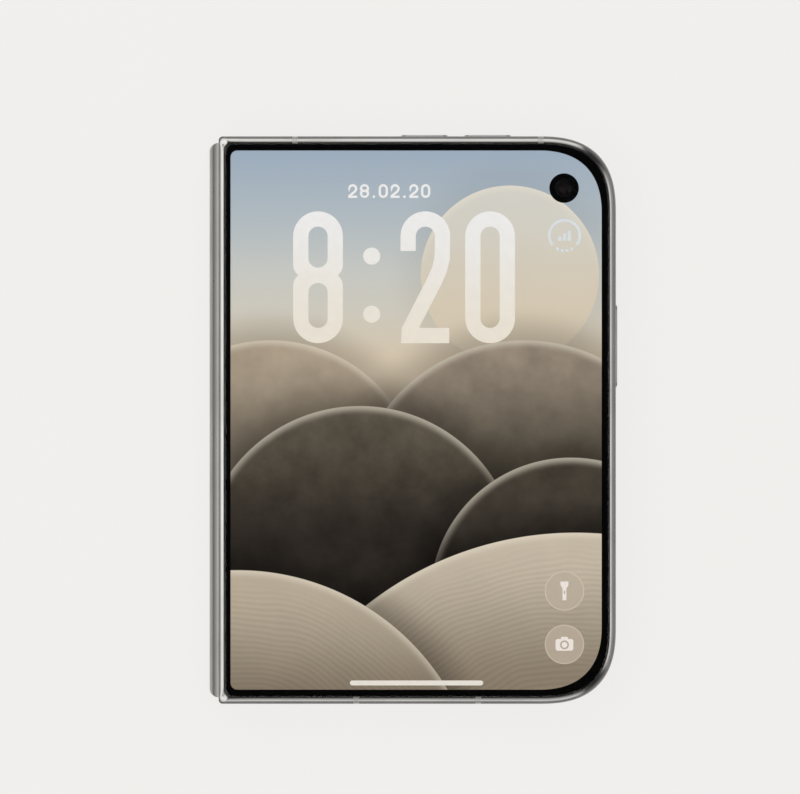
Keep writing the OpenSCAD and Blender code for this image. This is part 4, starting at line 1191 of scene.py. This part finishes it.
# %% Rounded ends, and the spine
x, y, z = graph.parts(graph.node("GeometryNodeInputPosition"))
end_r = size["End radius"]
past = (y.size() - size["Half length"] + end_r).high(0.0)
edge_x = end_r - (end_r * end_r - past * past).high(0.0).root() - size["Radius"]
inner = graph.node("GeometryNodeInputNamedAttribute", {"data_type": "FLOAT"}, {"Name": "inner"})
x = -x.size()
x = x.maths("SMOOTH_MAX", x, edge_x + inner * size["Wall"], size["Blend"]).low(0.0)
moved = graph.vector(x + size["Axis x"], y + size["Middle y"], z + size["Middle z"])
tube = graph.node("GeometryNodeSetPosition", None, {"Geometry": tube, "Position": moved})
end_tree(graph, tube, spine_metal)
spine = grow("spine_shell", graph, {
    "Radius": SPINE_R, "Rise": SPINE_RISE, "Wall": SPINE_WALL, "Half length": SPINE_HALF,
    "End radius": SPINE_END_R, "Blend": SPINE_BLEND, "Axis x": FOLD_X + AXIS_X,
    "Middle y": middle("spine_cover")[1], "Middle z": SHUT_Z})
ARM_Y0, ARM_Y1, NOTCH_DEPTH = 46.8, 54.0, 0.76
notches = [box_shell(AXIS_X - NOTCH_DEPTH, AXIS_X + 1, y0, y1, SPINE_RISE, SPINE_RISE + 5)
           for y0, y1 in ((ARM_Y0, ARM_Y1), (-ARM_Y1, -ARM_Y0))]
notches = [shell for side in (FRONT, REAR) for shell in place_all(notches, side)]
cut(spine, make_piece("arm_notches", notches, spine_metal))
print("spine from x", round(min(v.co.x for v in spine.data.vertices) / MM, 2), "mm")
dress(spine, "hinge_spine", "spine_metal", "spine_cover")

# %% [markdown]
# ## Marks on the cover screen
# Digits, a dotted gauge and two round buttons float over the picture. They are thin flat
# shapes just under the glass. A filled curve makes such a shape, and an outline that lies
# inside another one becomes a hole in it.

# %% Flat shapes and strokes
def flat_shape(outlines, z0, z1):
    """A flat slab between two heights of the front half, from closed outlines; an outline
    inside another is a hole."""
    curve = bpy.data.curves.new("slab", "CURVE")
    curve.dimensions, curve.fill_mode = "2D", "BOTH"
    curve.extrude = (z1 - z0) / 2
    for points in outlines:
        spline = curve.splines.new("POLY")
        spline.points.add(len(points) - 1)
        spline.points.foreach_set("co", [v for p in points for v in (p[0], p[1], 0.0, 1.0)])
        spline.use_cyclic_u = True
    holder = add_object("slab", curve)
    mesh = evaluated_mesh(holder)
    bpy.data.objects.remove(holder)
    points = [(v.co.x, v.co.y, v.co.z + (z0 + z1) / 2) for v in mesh.vertices]
    faces = [tuple(p.vertices) for p in mesh.polygons]
    bpy.data.meshes.remove(mesh)
    return points, faces


def stroke(path, width):
    """The outline of a line of even width along a path."""
    left, right = [], []
    for i, (x, y) in enumerate(path):
        here = path[max(i - 1, 0):i + 2]
        steps = [Vector((b[0] - a[0], b[1] - a[1])).normalized() for a, b in (here[:2], here[-2:])]
        lean = (steps[0] + steps[1]).normalized()
        reach = width / 2 / max(lean.dot(steps[0]), 0.35)
        left.append((x - lean.y * reach, y + lean.x * reach))
        right.append((x + lean.y * reach, y - lean.x * reach))
    return left + right[::-1]


MARK = (GLASS_Z + MARK_Z0, GLASS_Z + MARK_Z1)
ON_MARK = (GLASS_Z + MARK_Z1, GLASS_Z + MARK_Z1 + 0.012)
print("marks lie from", round(MARK[0], 3), "to", round(ON_MARK[1], 3), "mm")

# %% Round outlines, and paint that glows
def sweep(x, y, r, start, step, count):
    """Points on a circle, from one angle on by equal steps, in degrees."""
    return [on_circle(x, y, r, math.radians(start + step * i)) for i in range(count)]


def round_box(x0, x1, y0, y1, r, steps=10):
    """Outline of a box with round corners."""
    corners = ((x1 - r, y1 - r, 0), (x0 + r, y1 - r, 90),
               (x0 + r, y0 + r, 180), (x1 - r, y0 + r, 270))
    return [p for x, y, start in corners for p in sweep(x, y, r, start, 90 / steps, steps + 1)]


def disc(x, y, r, steps=48):
    return sweep(x, y, r, 0, 360 / steps, steps)


def lit_piece(name, shells, finish):
    return dress(make_piece(name, place_all(shells, FRONT), finish), "front_half", "cover_screen")


def glow_paint(name, high, low, y0, y1):
    """A lit mark whose colour warms from its top to its foot, with a faint grain."""
    f = Finish(name)
    up = f.axes()[1]
    grain = f.noise(0.6).span(0.97, 1.0)
    lit = f.times(f.mix(up.rise(MID_Y + y0, MID_Y + y1), low, high), grain)
    return f.coat(Base_Color=(0.02, 0.02, 0.02, 1), Roughness=0.4, Specular_IOR_Level=0.0,
                  Emission_Color=lit, Emission_Strength=1.0)


print("a disc has", len(disc(0, 0, 1)), "points")

# %% [markdown]
# ### Clock and date
# A digit is a stroke of even width along a path, with rounded loops. Each digit's function
# takes its width, height and line, so the large clock and the small date share them.

# %% Digits
WAIST, WAIST_UP, WAIST_LEAN = 0.27, 0.515, math.radians(52)


def digit_eight(w, h, line):
    """Two stacked loops with a waist, and a hole in each."""
    r, waist, mid = w / 2, w * WAIST, h * WAIST_UP
    drop = waist * math.sin(WAIST_LEAN)
    lean = [WAIST_LEAN * i / 6 for i in range(7)]
    side = sweep(w - r, r, r, -90, 9, 11)
    side += [on_circle(w - waist, mid - drop, waist, a) for a in lean]
    side += [on_circle(w - waist, mid + drop, waist, -a) for a in lean[-2::-1]]
    side += sweep(w - r, h - r, r, 0, 9, 11)
    holes = [round_box(line, w - line, y0, y1, min(w - 2 * line, y1 - y0) / 2)
             for y0, y1 in ((line, mid - line / 2), (mid + line / 2, h - line))]
    return [side + [(w - x, y) for x, y in reversed(side)]] + holes


def digit_nought(w, h, line):
    return [round_box(0, w, 0, h, w / 2), round_box(line, w - line, line, h - line, w / 2 - line)]


def digit_two(w, h, line):
    """A hook that leans down to a flat foot."""
    half, r = line / 2, (w - line) / 2
    path = [(half, h * 0.70), (half, h - half - r)]
    path += sweep(w / 2, h - half - r, r, 168, -12, 15)
    path += [(w - half - line * 0.03, h * 0.64), (w - half - line * 0.23, h * 0.55),
             (w - half - line * 0.58, h * 0.46), (half + line * 0.08, half + line * 0.37),
             (half + line * 0.06, half), (w - line * 0.06, half)]
    return [stroke(path, line)]


DIGITS = {"8": digit_eight, "0": digit_nought, "2": digit_two}
print("digits", *DIGITS)

# %% Clock and date
DOTS = {":": (0.22, 0.66), ".": (0.09,)}
# x, y, width and height of a digit, line, gap
CLOCK, DATE = (15.9, 16.4, 10.6, 28.1, 3.25, 3.2), (27.6, 47.35, 1.98, 2.95, 0.5, 0.54)


def write_digits(text, x, y, w, h, line, gap):
    """Shells of the digits of a plain time or date, from x on; a colon or dot is narrower."""
    shells = []
    for sign in text:
        if sign in DIGITS:
            parts = [[(x + u, y + v) for u, v in part] for part in DIGITS[sign](w, h, line)]
            shells.append(flat_shape(parts, *MARK))
            x += w + gap
        else:
            r = line * 0.56
            shells += [flat_shape([disc(x + 0.35 * gap + r, y + h * up, r)], *MARK)
                       for up in DOTS[sign]]
            x += 2 * r + 1.7 * gap
    return shells


clock_paint = glow_paint("clock_paint", tint(244, 243, 241), tint(240, 232, 217),
                         CLOCK[1], CLOCK[1] + CLOCK[3])
lit_piece("clock_digits", write_digits("8:20", *CLOCK), clock_paint)
lit_piece("date_digits", write_digits("28.02.20", *DATE), clock_paint)

# %% [markdown]
# ### Gauge, buttons and bar
# The gauge is an open ring with four dots and three rising bars in it. Each round button is
# a pale disc with a brighter rim, and its pictogram lies on top.

# %% Small marks
GAUGE_X, GAUGE_Y, GAUGE_R, GAUGE_LINE, GAUGE_DOT, GAUGE_BARS = 73.75, 39.35, 3.25, 0.56, 0.34, 3
BUTTON_X, BUTTON_YS, BUTTON_R, BUTTON_RIM = 73.73, (-36.4, -47.8), 4.2, 0.22

gauge = [[stroke(sweep(GAUGE_X, GAUGE_Y, GAUGE_R, -38, 4, 65), GAUGE_LINE)]]
gauge += [[disc(*dot, GAUGE_DOT, 20)] for dot in sweep(GAUGE_X, GAUGE_Y, GAUGE_R, -117, 18, 4)]
gauge += [[round_box(GAUGE_X - 1.35 + i, GAUGE_X - 0.65 + i,
                     GAUGE_Y - 1.15, GAUGE_Y - 0.2 + i * 0.62, 0.2, 4)] for i in range(GAUGE_BARS)]
bar = [round_box(28.0, 56.4, -56.55, -55.5, 0.52)]
mark_paint = glow_paint("mark_paint", tint(222, 229, 232), tint(236, 230, 220), -40, 40)
lit_piece("gauge_and_bar", [flat_shape(lines, *MARK) for lines in gauge + [bar]], mark_paint)


def button_paint(name, high, low):
    return glow_paint(name, high, low, -52, -32)


face_paint = button_paint("button_paint", tint(192, 179, 160), tint(184, 170, 151))
rim_paint = button_paint("button_rim_paint", tint(212, 198, 178), tint(205, 190, 170))
glyph_paint = button_paint("glyph_paint", tint(243, 233, 226), tint(243, 233, 226))
faces = [flat_shape([disc(BUTTON_X, y, BUTTON_R, 72)], *MARK) for y in BUTTON_YS]
rims = [flat_shape([disc(BUTTON_X, y, BUTTON_R - inner, 72) for inner in (0, BUTTON_RIM)], *ON_MARK)
        for y in BUTTON_YS]
lit_piece("button_faces", faces, face_paint)
lit_piece("button_rims", rims, rim_paint)
# half of the torch's outline, from its head down, then its switch as a hole
torch = [(-0.85, 2.0), (-0.85, 1.2), (-0.42, 0.5), (-0.42, -2.0)]
torch += [(-x, y) for x, y in reversed(torch)]
torch = [torch, round_box(-0.16, 0.16, -0.65, 0.05, 0.14, 4)]
shutter = [round_box(-1.9, 1.9, -1.35, 1.15, 0.5, 6), disc(0, -0.1, 0.95, 36)]
lens_dot, shutter_hump = [disc(0, -0.1, 0.62, 30)], [round_box(-0.75, 0.75, 1.1, 1.6, 0.2, 4)]
glyphs = [flat_shape([[(BUTTON_X + x, y0 + y) for x, y in line] for line in lines], *ON_MARK)
          for lines, y0 in zip((torch, shutter, lens_dot, shutter_hump),
                               (BUTTON_YS[0], BUTTON_YS[1], BUTTON_YS[1], BUTTON_YS[1]))]
lit_piece("button_glyphs", glyphs, glyph_paint)

# %% [markdown]
# ## Cameras in the front half
# The cover camera looks out through a round window in the screen. It is a black well with a
# small coated lens. The inner camera is a smaller one beside the inner screen, and looks the
# other way. Both wells are turned profiles, so one function makes each pair.

# %% Cover camera and inner camera
COVER_EYE_R, INNER_EYE_R = 1.96, 0.76


def front_camera(name, node, well, well_steps, lens, lens_steps, coating):
    """A camera's black well and the domed lens in it, both from turned profiles."""
    x, y, _ = middle(node)
    eye = make_piece(name, [turn(well, x, y, well_steps)], barrel_black, 25)
    dress(eye, "front_half", "black_barrel", node)
    glass = make_piece(name + "_lens", [turn(lens, x, y, lens_steps)], coating)
    dress(glass, "front_half", "lens_glass")
    return x, y


eye_x, eye_y, _ = middle("cover_camera")
# the cover lens's faint purple-brown middle is a painted glint
eye_coating = lens_with_painted_glint("eye_coating", (0.034, 0.024, 0.026, 1), (0.001, 0.001, 0.001, 1),
                          COVER_EYE_R, (eye_x + 0.3, eye_y - 0.25))
low, top = box_mm("cover_camera")[0][2], SHUT_Z + GLASS_Z - 0.004
cover_well = [(0, low), (3.85, low), (3.85, low + 1.6), (2.85, low + 1.6), (2.85, top - 0.32),
              (3.12, top - 0.26), (3.12, top), (2.75, top), (2.5, top - 0.06), (2.25, top - 0.3),
              (2.1, top - 0.34), (2.02, top - 0.5), (0, top - 0.5)]
front_camera("cover_eye", "cover_camera", cover_well, 72,
             dome(COVER_EYE_R, top - 0.48, 0.36), 56, eye_coating)
face, back = (corner[2] for corner in box_mm("inner_camera"))
inner_well = [(0, face + 0.35), (0.8, face + 0.35), (0.95, face + 0.2), (1.3, face + 0.15),
              (1.45, face), (1.8, face), (1.8, face + 0.65), (2.7, face + 0.65),
              (2.7, face + 1.85), (1.8, face + 1.85), (1.8, back), (0, back)]
small_x, small_y = front_camera("inner_eye", "inner_camera", inner_well, 48,
                                dome(INNER_EYE_R, face + 0.33, -0.2), 40, lens_coating)

# %% [markdown]
# ## Inner screen that folds
# Inside, one flexible screen runs over both halves and bends in a loose drop at the hinge. It
# is two meshes that meet at the middle of the fold, each bending between the spine and its
# half. The shut shape is worked out backwards: a point's place on the flat, open screen is
# known, so its place when shut is that point turned back by its own share of the angle.

# %% Solve the folded shape
AXIS_Z = SPINE_RISE
SHEET_T, SHEET_INSET, BEND_END_S, BEND_ROWS, SOLVE_STEPS = 0.3, 1.05, 7.5, 60, 400
BEND_START, BEND_END = (1.151, -1.229), (1.955, -0.63)


def share_at(x, z):
    """How far a point at (x, z) from the hinge axis follows its half, from 0 to 1."""
    (sx, sz), (ex, ez) = BEND_START, BEND_END
    dx, dz = ex - sx, ez - sz
    t = min(max(((x - sx) * dx + (z - sz) * dz) / (dx * dx + dz * dz), 0.0), 1.0)
    return t * t * (3 - 2 * t)


def turned_back(x, z, share):
    c, s = math.cos(share * math.pi / 2), math.sin(share * math.pi / 2)
    return x * c + z * s, z * c - x * s


def shut_rows(depth):
    """Where the screen at this depth lies when shut, as (s, x, z) from the middle of the fold
    to the flat part; s is the distance from the middle on the open screen."""
    found, last = [], 1.0
    for i in range(BEND_ROWS + 1):
        s = BEND_END_S * (1 - i / BEND_ROWS)
        x, z = AXIS_Z - INNER_Z - depth, s - AXIS_Z
        shares = [k / SOLVE_STEPS for k in range(SOLVE_STEPS + 1)]
        error = [share_at(*turned_back(x, z, share)) - share for share in shares]
        roots = [1.0] if error[-1] >= -1e-9 else []
        roots += [0.0] if error[0] <= 1e-9 else []
        roots += [(k + a / (a - b)) / SOLVE_STEPS
                  for k, (a, b) in enumerate(zip(error, error[1:])) if a * b < 0]
        last = min(roots, key=lambda r: abs(r - last))
        bx, bz = turned_back(x, z, last)
        found.append((s, AXIS_X + bx, AXIS_Z + bz))
    return found[::-1]


def sheet_rows(half_width):
    """Sections of the screen as (s, half width, face point, back point)."""
    rows = [(f[0], half_width, f[1:], b[1:]) for f, b in zip(shut_rows(0.0), shut_rows(SHEET_T))]
    line = outline(LIP + SHEET_INSET, 0.0)
    for x, y in line[FOLD_STEPS + 1:len(line) // 2]:
        s = x + AXIS_Z - AXIS_X
        if s > BEND_END_S + 0.5:
            rows.append((s, y, (x, INNER_Z), (x, INNER_Z + SHEET_T)))
    return rows


screen_low, screen_high = box_mm("inner_screen_front")
sheet = sheet_rows((screen_high[1] - screen_low[1]) / 2)
print("sheet reaches from", round(sheet[0][2][0], 2), "to", round(sheet[-1][2][0], 2),
      "mm; bend height", round(max(row[3][1] for row in sheet), 2))

# %% [markdown]
# ### Two bent sheets
# Each mesh carries a map of where its points lie on the open screen, which its picture
# follows. The front one gets a round window for the inner camera. A boolean can't keep the
# map at the window's new corners, so on the flat part it is written again from their places.

# %% Sheets and window
EYE_HOLE_R = 1.95


def screen_piece(name, side):
    """One half of the inner screen, with a map of where each point lies when open."""
    sections = [[(fx, -w, fz), (fx, w, fz), (bx, w, bz), (bx, -w, bz)]
                for s, w, (fx, fz), (bx, bz) in sheet]
    spread = [(-side * s, y) for s, w, *_ in sheet for y in (-w, w, w, -w)]
    return make_piece(name, place_all([skin(sections)], side), inner_picture, 50, spread)


def from_axis(point, side):
    (x, y, z), = seat([(AXIS_X + point[0], 0.0, AXIS_Z + point[1])], side)
    return x * MM, y * MM, z * MM


front_sheet = screen_piece("inner_panel_front", FRONT)
rear_sheet = screen_piece("inner_panel_rear", REAR)
window = [(0, face - 1), (EYE_HOLE_R, face - 1), (EYE_HOLE_R, face + 1), (0, face + 1)]
window = make_piece("eye_window", [turn(window, small_x, small_y, 64)], inner_picture)
cut(front_sheet, window, 50)
for corner, spot in zip(front_sheet.data.vertices, front_sheet.data.attributes["sheet"].data):
    x, y = corner.co.x / MM - FOLD_X, corner.co.y / MM - MID_Y
    if x > BEND_END_S:
        spot.vector = (-FRONT * (x + AXIS_Z - AXIS_X), y, 0.0)
from_axis(BEND_START, FRONT)
from_axis(BEND_END, FRONT)
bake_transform(front_sheet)
from_axis(BEND_END, REAR)
from_axis(BEND_START, REAR)
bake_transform(rear_sheet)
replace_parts(front_sheet, "inner_screen_front", "inner_screen_fold")
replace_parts(rear_sheet, "inner_screen_rear")
print("two sheets of", len(front_sheet.data.polygons), "faces")

# %% [markdown]
# ## Finishes of the inner parts
# Parts that keep their solid still get a real finish each: foil wrinkles on the cells, tracks
# on the boards, wound copper, turned steel, brass gears. One table gives every solid its
# material, and whatever is missing from it is named, so that nothing stays plain.

# %% Foil, boards, wire and turned metal
def foil(name, colour):
    """A wrapped cell: dark foil with soft wrinkles and a satin sheen."""
    f = Finish(name)
    crease = f.noise(0.35, f.stretch(1, 1.6, 1), 5.0, 0.6)
    return f.coat(Base_Color=f.mix(crease.span(), darker(colour, 0.7), colour),
                  Roughness=crease.span(0.28, 0.5), Normal=f.bump(crease, 0.5, 0.12))


def board(name):
    """Green solder mask with copper tracks that show through as lighter lines."""
    f = Finish(name)
    cell = f.node("ShaderNodeTexVoronoi", {"distance": "CHEBYCHEV", "feature": "F1"},
                  {"Vector": f.place, "Scale": 0.9})
    track = (cell * 9.0).sine().rise(0.2, 0.6)
    return f.coat(Base_Color=f.mix(track, tint(20, 66, 44), tint(38, 104, 70)), Coat_Weight=0.3,
                  Roughness=track * -0.1 + 0.38, Normal=f.bump(track, 0.4, 0.03))


def wound(name, x, y, pitch):
    """Copper wire wound flat about a middle: the rings follow the distance from it, and each turn
    is painted light on its crown and dark between turns, as painted shade.
    """
    f = Finish(name)
    away = f.distance(f.stretch(1, 1, 0), (x, y, 0.0))
    wire = (away * (2 * math.pi / pitch)).sine() * 0.5 + 0.5
    # painted shade: dark copper between the turns, light copper on their crowns
    return f.coat(Base_Color=f.mix(wire, tint(98, 52, 32), tint(196, 118, 78)), Metallic=0.9,
                  Roughness=wire * -0.15 + 0.4, Normal=f.bump(wire, 0.8, 0.1))


def turned_metal(name, colour, rough, scale=(1.0, 8.0, 1.0)):
    """Machined metal with fine tool marks across its length."""
    f = Finish(name)
    mark = f.noise(2.0, f.stretch(*scale), 3.0)
    return f.coat(Base_Color=f.mix(mark.span(), darker(colour, 0.8), colour), Metallic=1.0,
                  Roughness=mark.span(rough, rough + 0.12), Normal=f.bump(mark, 0.25, 0.01))


print("four kinds of finish for inner parts")

# %% A finish for every solid
coil_x, coil_y, _ = middle("charging_coil")
black_plastic = moulded("black_plastic", tint(44, 45, 47), 0.1, 0.55, 7.0, 0.02)
bezel_rubber = moulded("bezel_rubber", tint(20, 20, 21), 0.08, 0.62, 10.0, 0.01)
flex_film = moulded("flex_film", tint(150, 92, 36), 0.12, 0.3, 2.0, 0.01, coat=0.4)
gold = turned_metal("contact_gold", tint(214, 178, 104), 0.2)
FINISHES = (
    (cover_picture, "cover_screen"),
    (board("board_green"), "main_board", "sub_board"),
    (foil("cell_foil", tint(52, 54, 58)), "rear_battery", "front_battery"),
    (wound("coil_copper", coil_x, coil_y, 0.55), "charging_coil"),
    (black_plastic, "port_tongue", "loudspeaker", "earpiece", "key_switches"),
    (bezel_rubber, "rear_bezel", "front_bezel"),
    (flex_film, "hinge_flex"),
    (turned_metal("can_tin", tint(190, 190, 188), 0.32, (4.0, 4.0, 4.0)),
     "shield_can", "vibration_motor"),
    (turned_metal("port_steel", tint(176, 175, 172), 0.22, (3.0, 6.0, 3.0)), "port_shell"),
    (turned_metal("magnet_nickel", tint(176, 177, 180), 0.2), "rear_magnets", "front_magnets"),
    (turned_metal("plate_steel", tint(132, 134, 137), 0.3, (2.0, 2.0, 2.0)),
     "rear_inner_plate", "front_inner_plate", "fold_support_strip"),
    (turned_metal("hinge_steel", tint(168, 168, 170), 0.25),
     "rear_swing_arms", "front_swing_arms", "hinge_bases"),
    (turned_metal("pin_steel", tint(205, 206, 208), 0.14, (8.0, 1.0, 8.0)),
     "hinge_pins", "idler_pins", "torque_springs"),
    (turned_metal("screw_steel", tint(150, 151, 153), 0.28),
     "base_screws", "rear_arm_screws", "front_arm_screws"),
    (turned_metal("gear_brass", tint(196, 166, 104), 0.24),
     "rear_idler_gears", "front_idler_gears"),
)
for finish, *names in FINISHES:
    for name in names:
        materials = nodes[name].data.materials
        if not materials:
            materials.append(finish)
        for i in range(len(materials)):
            materials[i] = finish
hidden = {name for piece in bpy.data.objects for name in piece.get("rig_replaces", [])}
finished = {name for _, *names in FINISHES for name in names}
print("no finish yet:", sorted(set(nodes) - finished - hidden))

# %% [markdown]
# ## Contacts in the charging port
# The tongue of the port carries a row of gold contacts on both faces. They repeat, so the
# same idea as for the sound holes places them: a line of points and one small bar on each.

# %% Rows of contacts
CONTACTS, CONTACT_IN, CONTACT_DEEP, CONTACT_LIFT = 10, 0.45, 1.75, 0.015
graph, size = new_tree("contact_rows", "Width", "Length", "Height", "Pitch", "Start", "Y",
                       "Under", "Over", Count=CONTACTS)
contact = graph.node("GeometryNodeMeshCube", None, {
    "Size": graph.vector(size["Width"], size["Length"], size["Height"])})
under = graph.node("GeometryNodeMeshLine", {"mode": "OFFSET"}, {
    "Count": size["Count"], "Start Location": graph.vector(size["Start"], size["Y"], size["Under"]),
    "Offset": graph.vector(size["Pitch"])})
over = graph.node("GeometryNodeTransform", None, {
    0: under, "Translation": graph.vector(0.0, 0.0, size["Over"] - size["Under"])})
faces = graph.node("GeometryNodeJoinGeometry")
for row in (under, over):
    graph.tree.links.new(row.socket, faces.socket.node.inputs[0])
copies = graph.node("GeometryNodeInstanceOnPoints", None, {"Points": faces, "Instance": contact})
end_tree(graph, copies, gold)
tongue_low, tongue_high = box_mm("port_tongue")
contacts = grow("port_contacts", graph, {
    "Count": CONTACTS, "Width": 0.28, "Length": 3.2, "Height": 0.05,
    "Pitch": (tongue_high[0] - tongue_low[0] - 2 * CONTACT_IN) / (CONTACTS - 1),
    "Start": tongue_low[0] + CONTACT_IN, "Y": tongue_low[1] + CONTACT_DEEP,
    "Under": tongue_low[2] - CONTACT_LIFT, "Over": tongue_high[2] + CONTACT_LIFT})
dress(contacts, "rear_half", "port_metal")

# %% [markdown]
# ## Floor, light and camera
# The phone lies on a pale floor with the faint mottling of paper. The floor is pale by its
# colour, and glows in that colour for the camera; a small share is left to the lamps, so that
# the phone still casts a soft shadow. In mirrors the glow is weaker, so that the metal keeps
# its dark lines.

# %% Floor
FLOOR, FLOOR_REACH, FLOOR_DOWN = tint(240, 239, 237), 0.15, 0.00002
SEEN_SHARE, MIRRORED_SHARE = 0.93, 0.4

f = Finish("pale_floor")
tone = f.mix(f.noise(0.02, detail=3.0).span(0.0, 0.3), FLOOR, tint(239, 238, 235))
matt = f.node("ShaderNodeBsdfDiffuse", None, {"Color": tone})
lit = f.node("ShaderNodeEmission", None, {"Color": tone, "Strength": 1.0})
rays = f.outputs(f.node("ShaderNodeLightPath"))
seen = rays["Is Camera Ray"].high(rays["Is Transmission Ray"]) * SEEN_SHARE
seen = seen.high(rays["Is Glossy Ray"] * MIRRORED_SHARE)
floor_paint = f.end(f.node("ShaderNodeMixShader", None, {0: seen, 1: matt, 2: lit}))
bpy.ops.mesh.primitive_grid_add(x_subdivisions=8, y_subdivisions=8, size=2 * FLOOR_REACH,
                                location=(0, 0, -FLOOR_DOWN))
floor = bpy.context.object
floor.name = "floor"
floor.data.materials.append(floor_paint)
print("floor reaches", FLOOR_REACH, "m")

# %% [markdown]
# ### Lamps
# Polished metal shows what stands round it, so the lamps are large soft panels on four sides,
# none of them straight above, where the black glass would show it. Each bank is a stack of
# panels that grow brighter or dimmer upwards. Between the panels and the floor stays a dim
# band, which draws the dark line along each rounded edge, and the gaps between the banks leave
# the round corners dark.

# %% Banks of panels
LAMP_DISTANCE, FILL_SIZE, FILL_GLOW = 1.6, 1.6, 1.75
# azimuth and half width in degrees of each bank, and (lower edge, upper edge in degrees,
# brightness) of each of its panels
BANKS = {
    "left": (180, 58, ((14, 25, 0.32), (25, 35, 0.5), (35, 45, 0.75), (45, 55, 1.05),
                       (55, 72, 1.5))),
    "top": (90, 27, ((14, 28, 0.5), (28, 44, 1.15), (44, 61, 1.15), (61, 74, 0.55))),
    "bottom": (270, 27, ((14, 30, 0.3), (30, 48, 0.95), (48, 64, 0.6), (64, 76, 0.3))),
    "right": (0, 27, ((14, 26, 0.2), (26, 48, 0.3), (48, 56, 0.6), (56, 66, 1.1), (66, 77, 1.1))),
}


def panel(name, azimuth, elevation, width, height, glow):
    """A soft panel that looks at the phone; `glow` is how bright its face is."""
    lamp = bpy.data.lights.new(name, "AREA")
    lamp.shape, lamp.size, lamp.size_y = "RECTANGLE", width, height
    lamp.energy = glow * math.pi * width * height
    holder = add_object(name, lamp)
    a, e = math.radians(azimuth), math.radians(elevation)
    out = Vector((math.cos(e) * math.cos(a), math.cos(e) * math.sin(a), math.sin(e)))
    holder.location = out * LAMP_DISTANCE
    holder.rotation_euler = out.to_track_quat("Z", "Y").to_euler()
    return holder


def across(degrees):
    """How wide a panel is that fills so many degrees on both sides of its middle."""
    return 2 * LAMP_DISTANCE * math.tan(math.radians(degrees))


for bank, (azimuth, half, strips) in BANKS.items():
    for i, (low, high, glow) in enumerate(strips):
        up = (low + high) / 2
        width = across(half) * math.cos(math.radians(up))
        panel(f"{bank}_{i}", azimuth, up, width, across((high - low) / 2), glow)
# a fill from above for dull surfaces; mirrors don't show it
fill = panel("fill", 0, 90, FILL_SIZE, FILL_SIZE, FILL_GLOW)
fill.visible_glossy = fill.visible_transmission = False
print(sum(len(strips) for _, _, strips in BANKS.values()), "panels and a fill")

# %% [markdown]
# ### World
# What the metal doesn't see of the panels is a dim room, which gets darker upwards. The camera
# itself sees the floor's pale colour behind everything.

# %% Dim room
world = bpy.data.worlds.new("dim_room")
bpy.context.scene.world = world
world.use_nodes = True
world.node_tree.nodes.clear()
room = Graph(world.node_tree)
up = room.parts(room.node("ShaderNodeTexCoord", out=0))[2]
dim = room.mix(up.rise(0.35, 0.9), (0.2, 0.2, 0.205, 1), (0.02, 0.02, 0.02, 1))
rays = room.outputs(room.node("ShaderNodeLightPath"))
wall = room.mix(rays["Is Camera Ray"], dim, FLOOR)
sky = room.node("ShaderNodeBackground", None, {"Color": wall, "Strength": 1.0})
leave = world.node_tree.nodes.new("ShaderNodeOutputWorld")
world.node_tree.links.new(sky.socket, leave.inputs[0])
print("room has", len(world.node_tree.nodes), "nodes")

# %% [markdown]
# ### Camera
# The camera stands far above and looks straight down through a very long lens, so that the
# sides of the phone hardly lean outwards.

# %% Long lens from above
LENS, SENSOR, SEEN_W = 1000.0, 36.0, 170.5
AIM_X, AIM_Y = -2.85, 4.75
camera = bpy.data.cameras.new("camera")
camera.lens, camera.sensor_width = LENS, SENSOR
camera.clip_start, camera.clip_end = 0.1, 30.0
view = add_object("camera", camera)
view.location = (AIM_X * MM, AIM_Y * MM, (SHUT_Z + OUTER_Z + SEEN_W * LENS / SENSOR) * MM)
bpy.context.scene.camera = view
bpy.context.scene.view_settings.view_transform = "Standard"
print("camera", round(view.location.z, 3), "m up")

# %% [markdown]
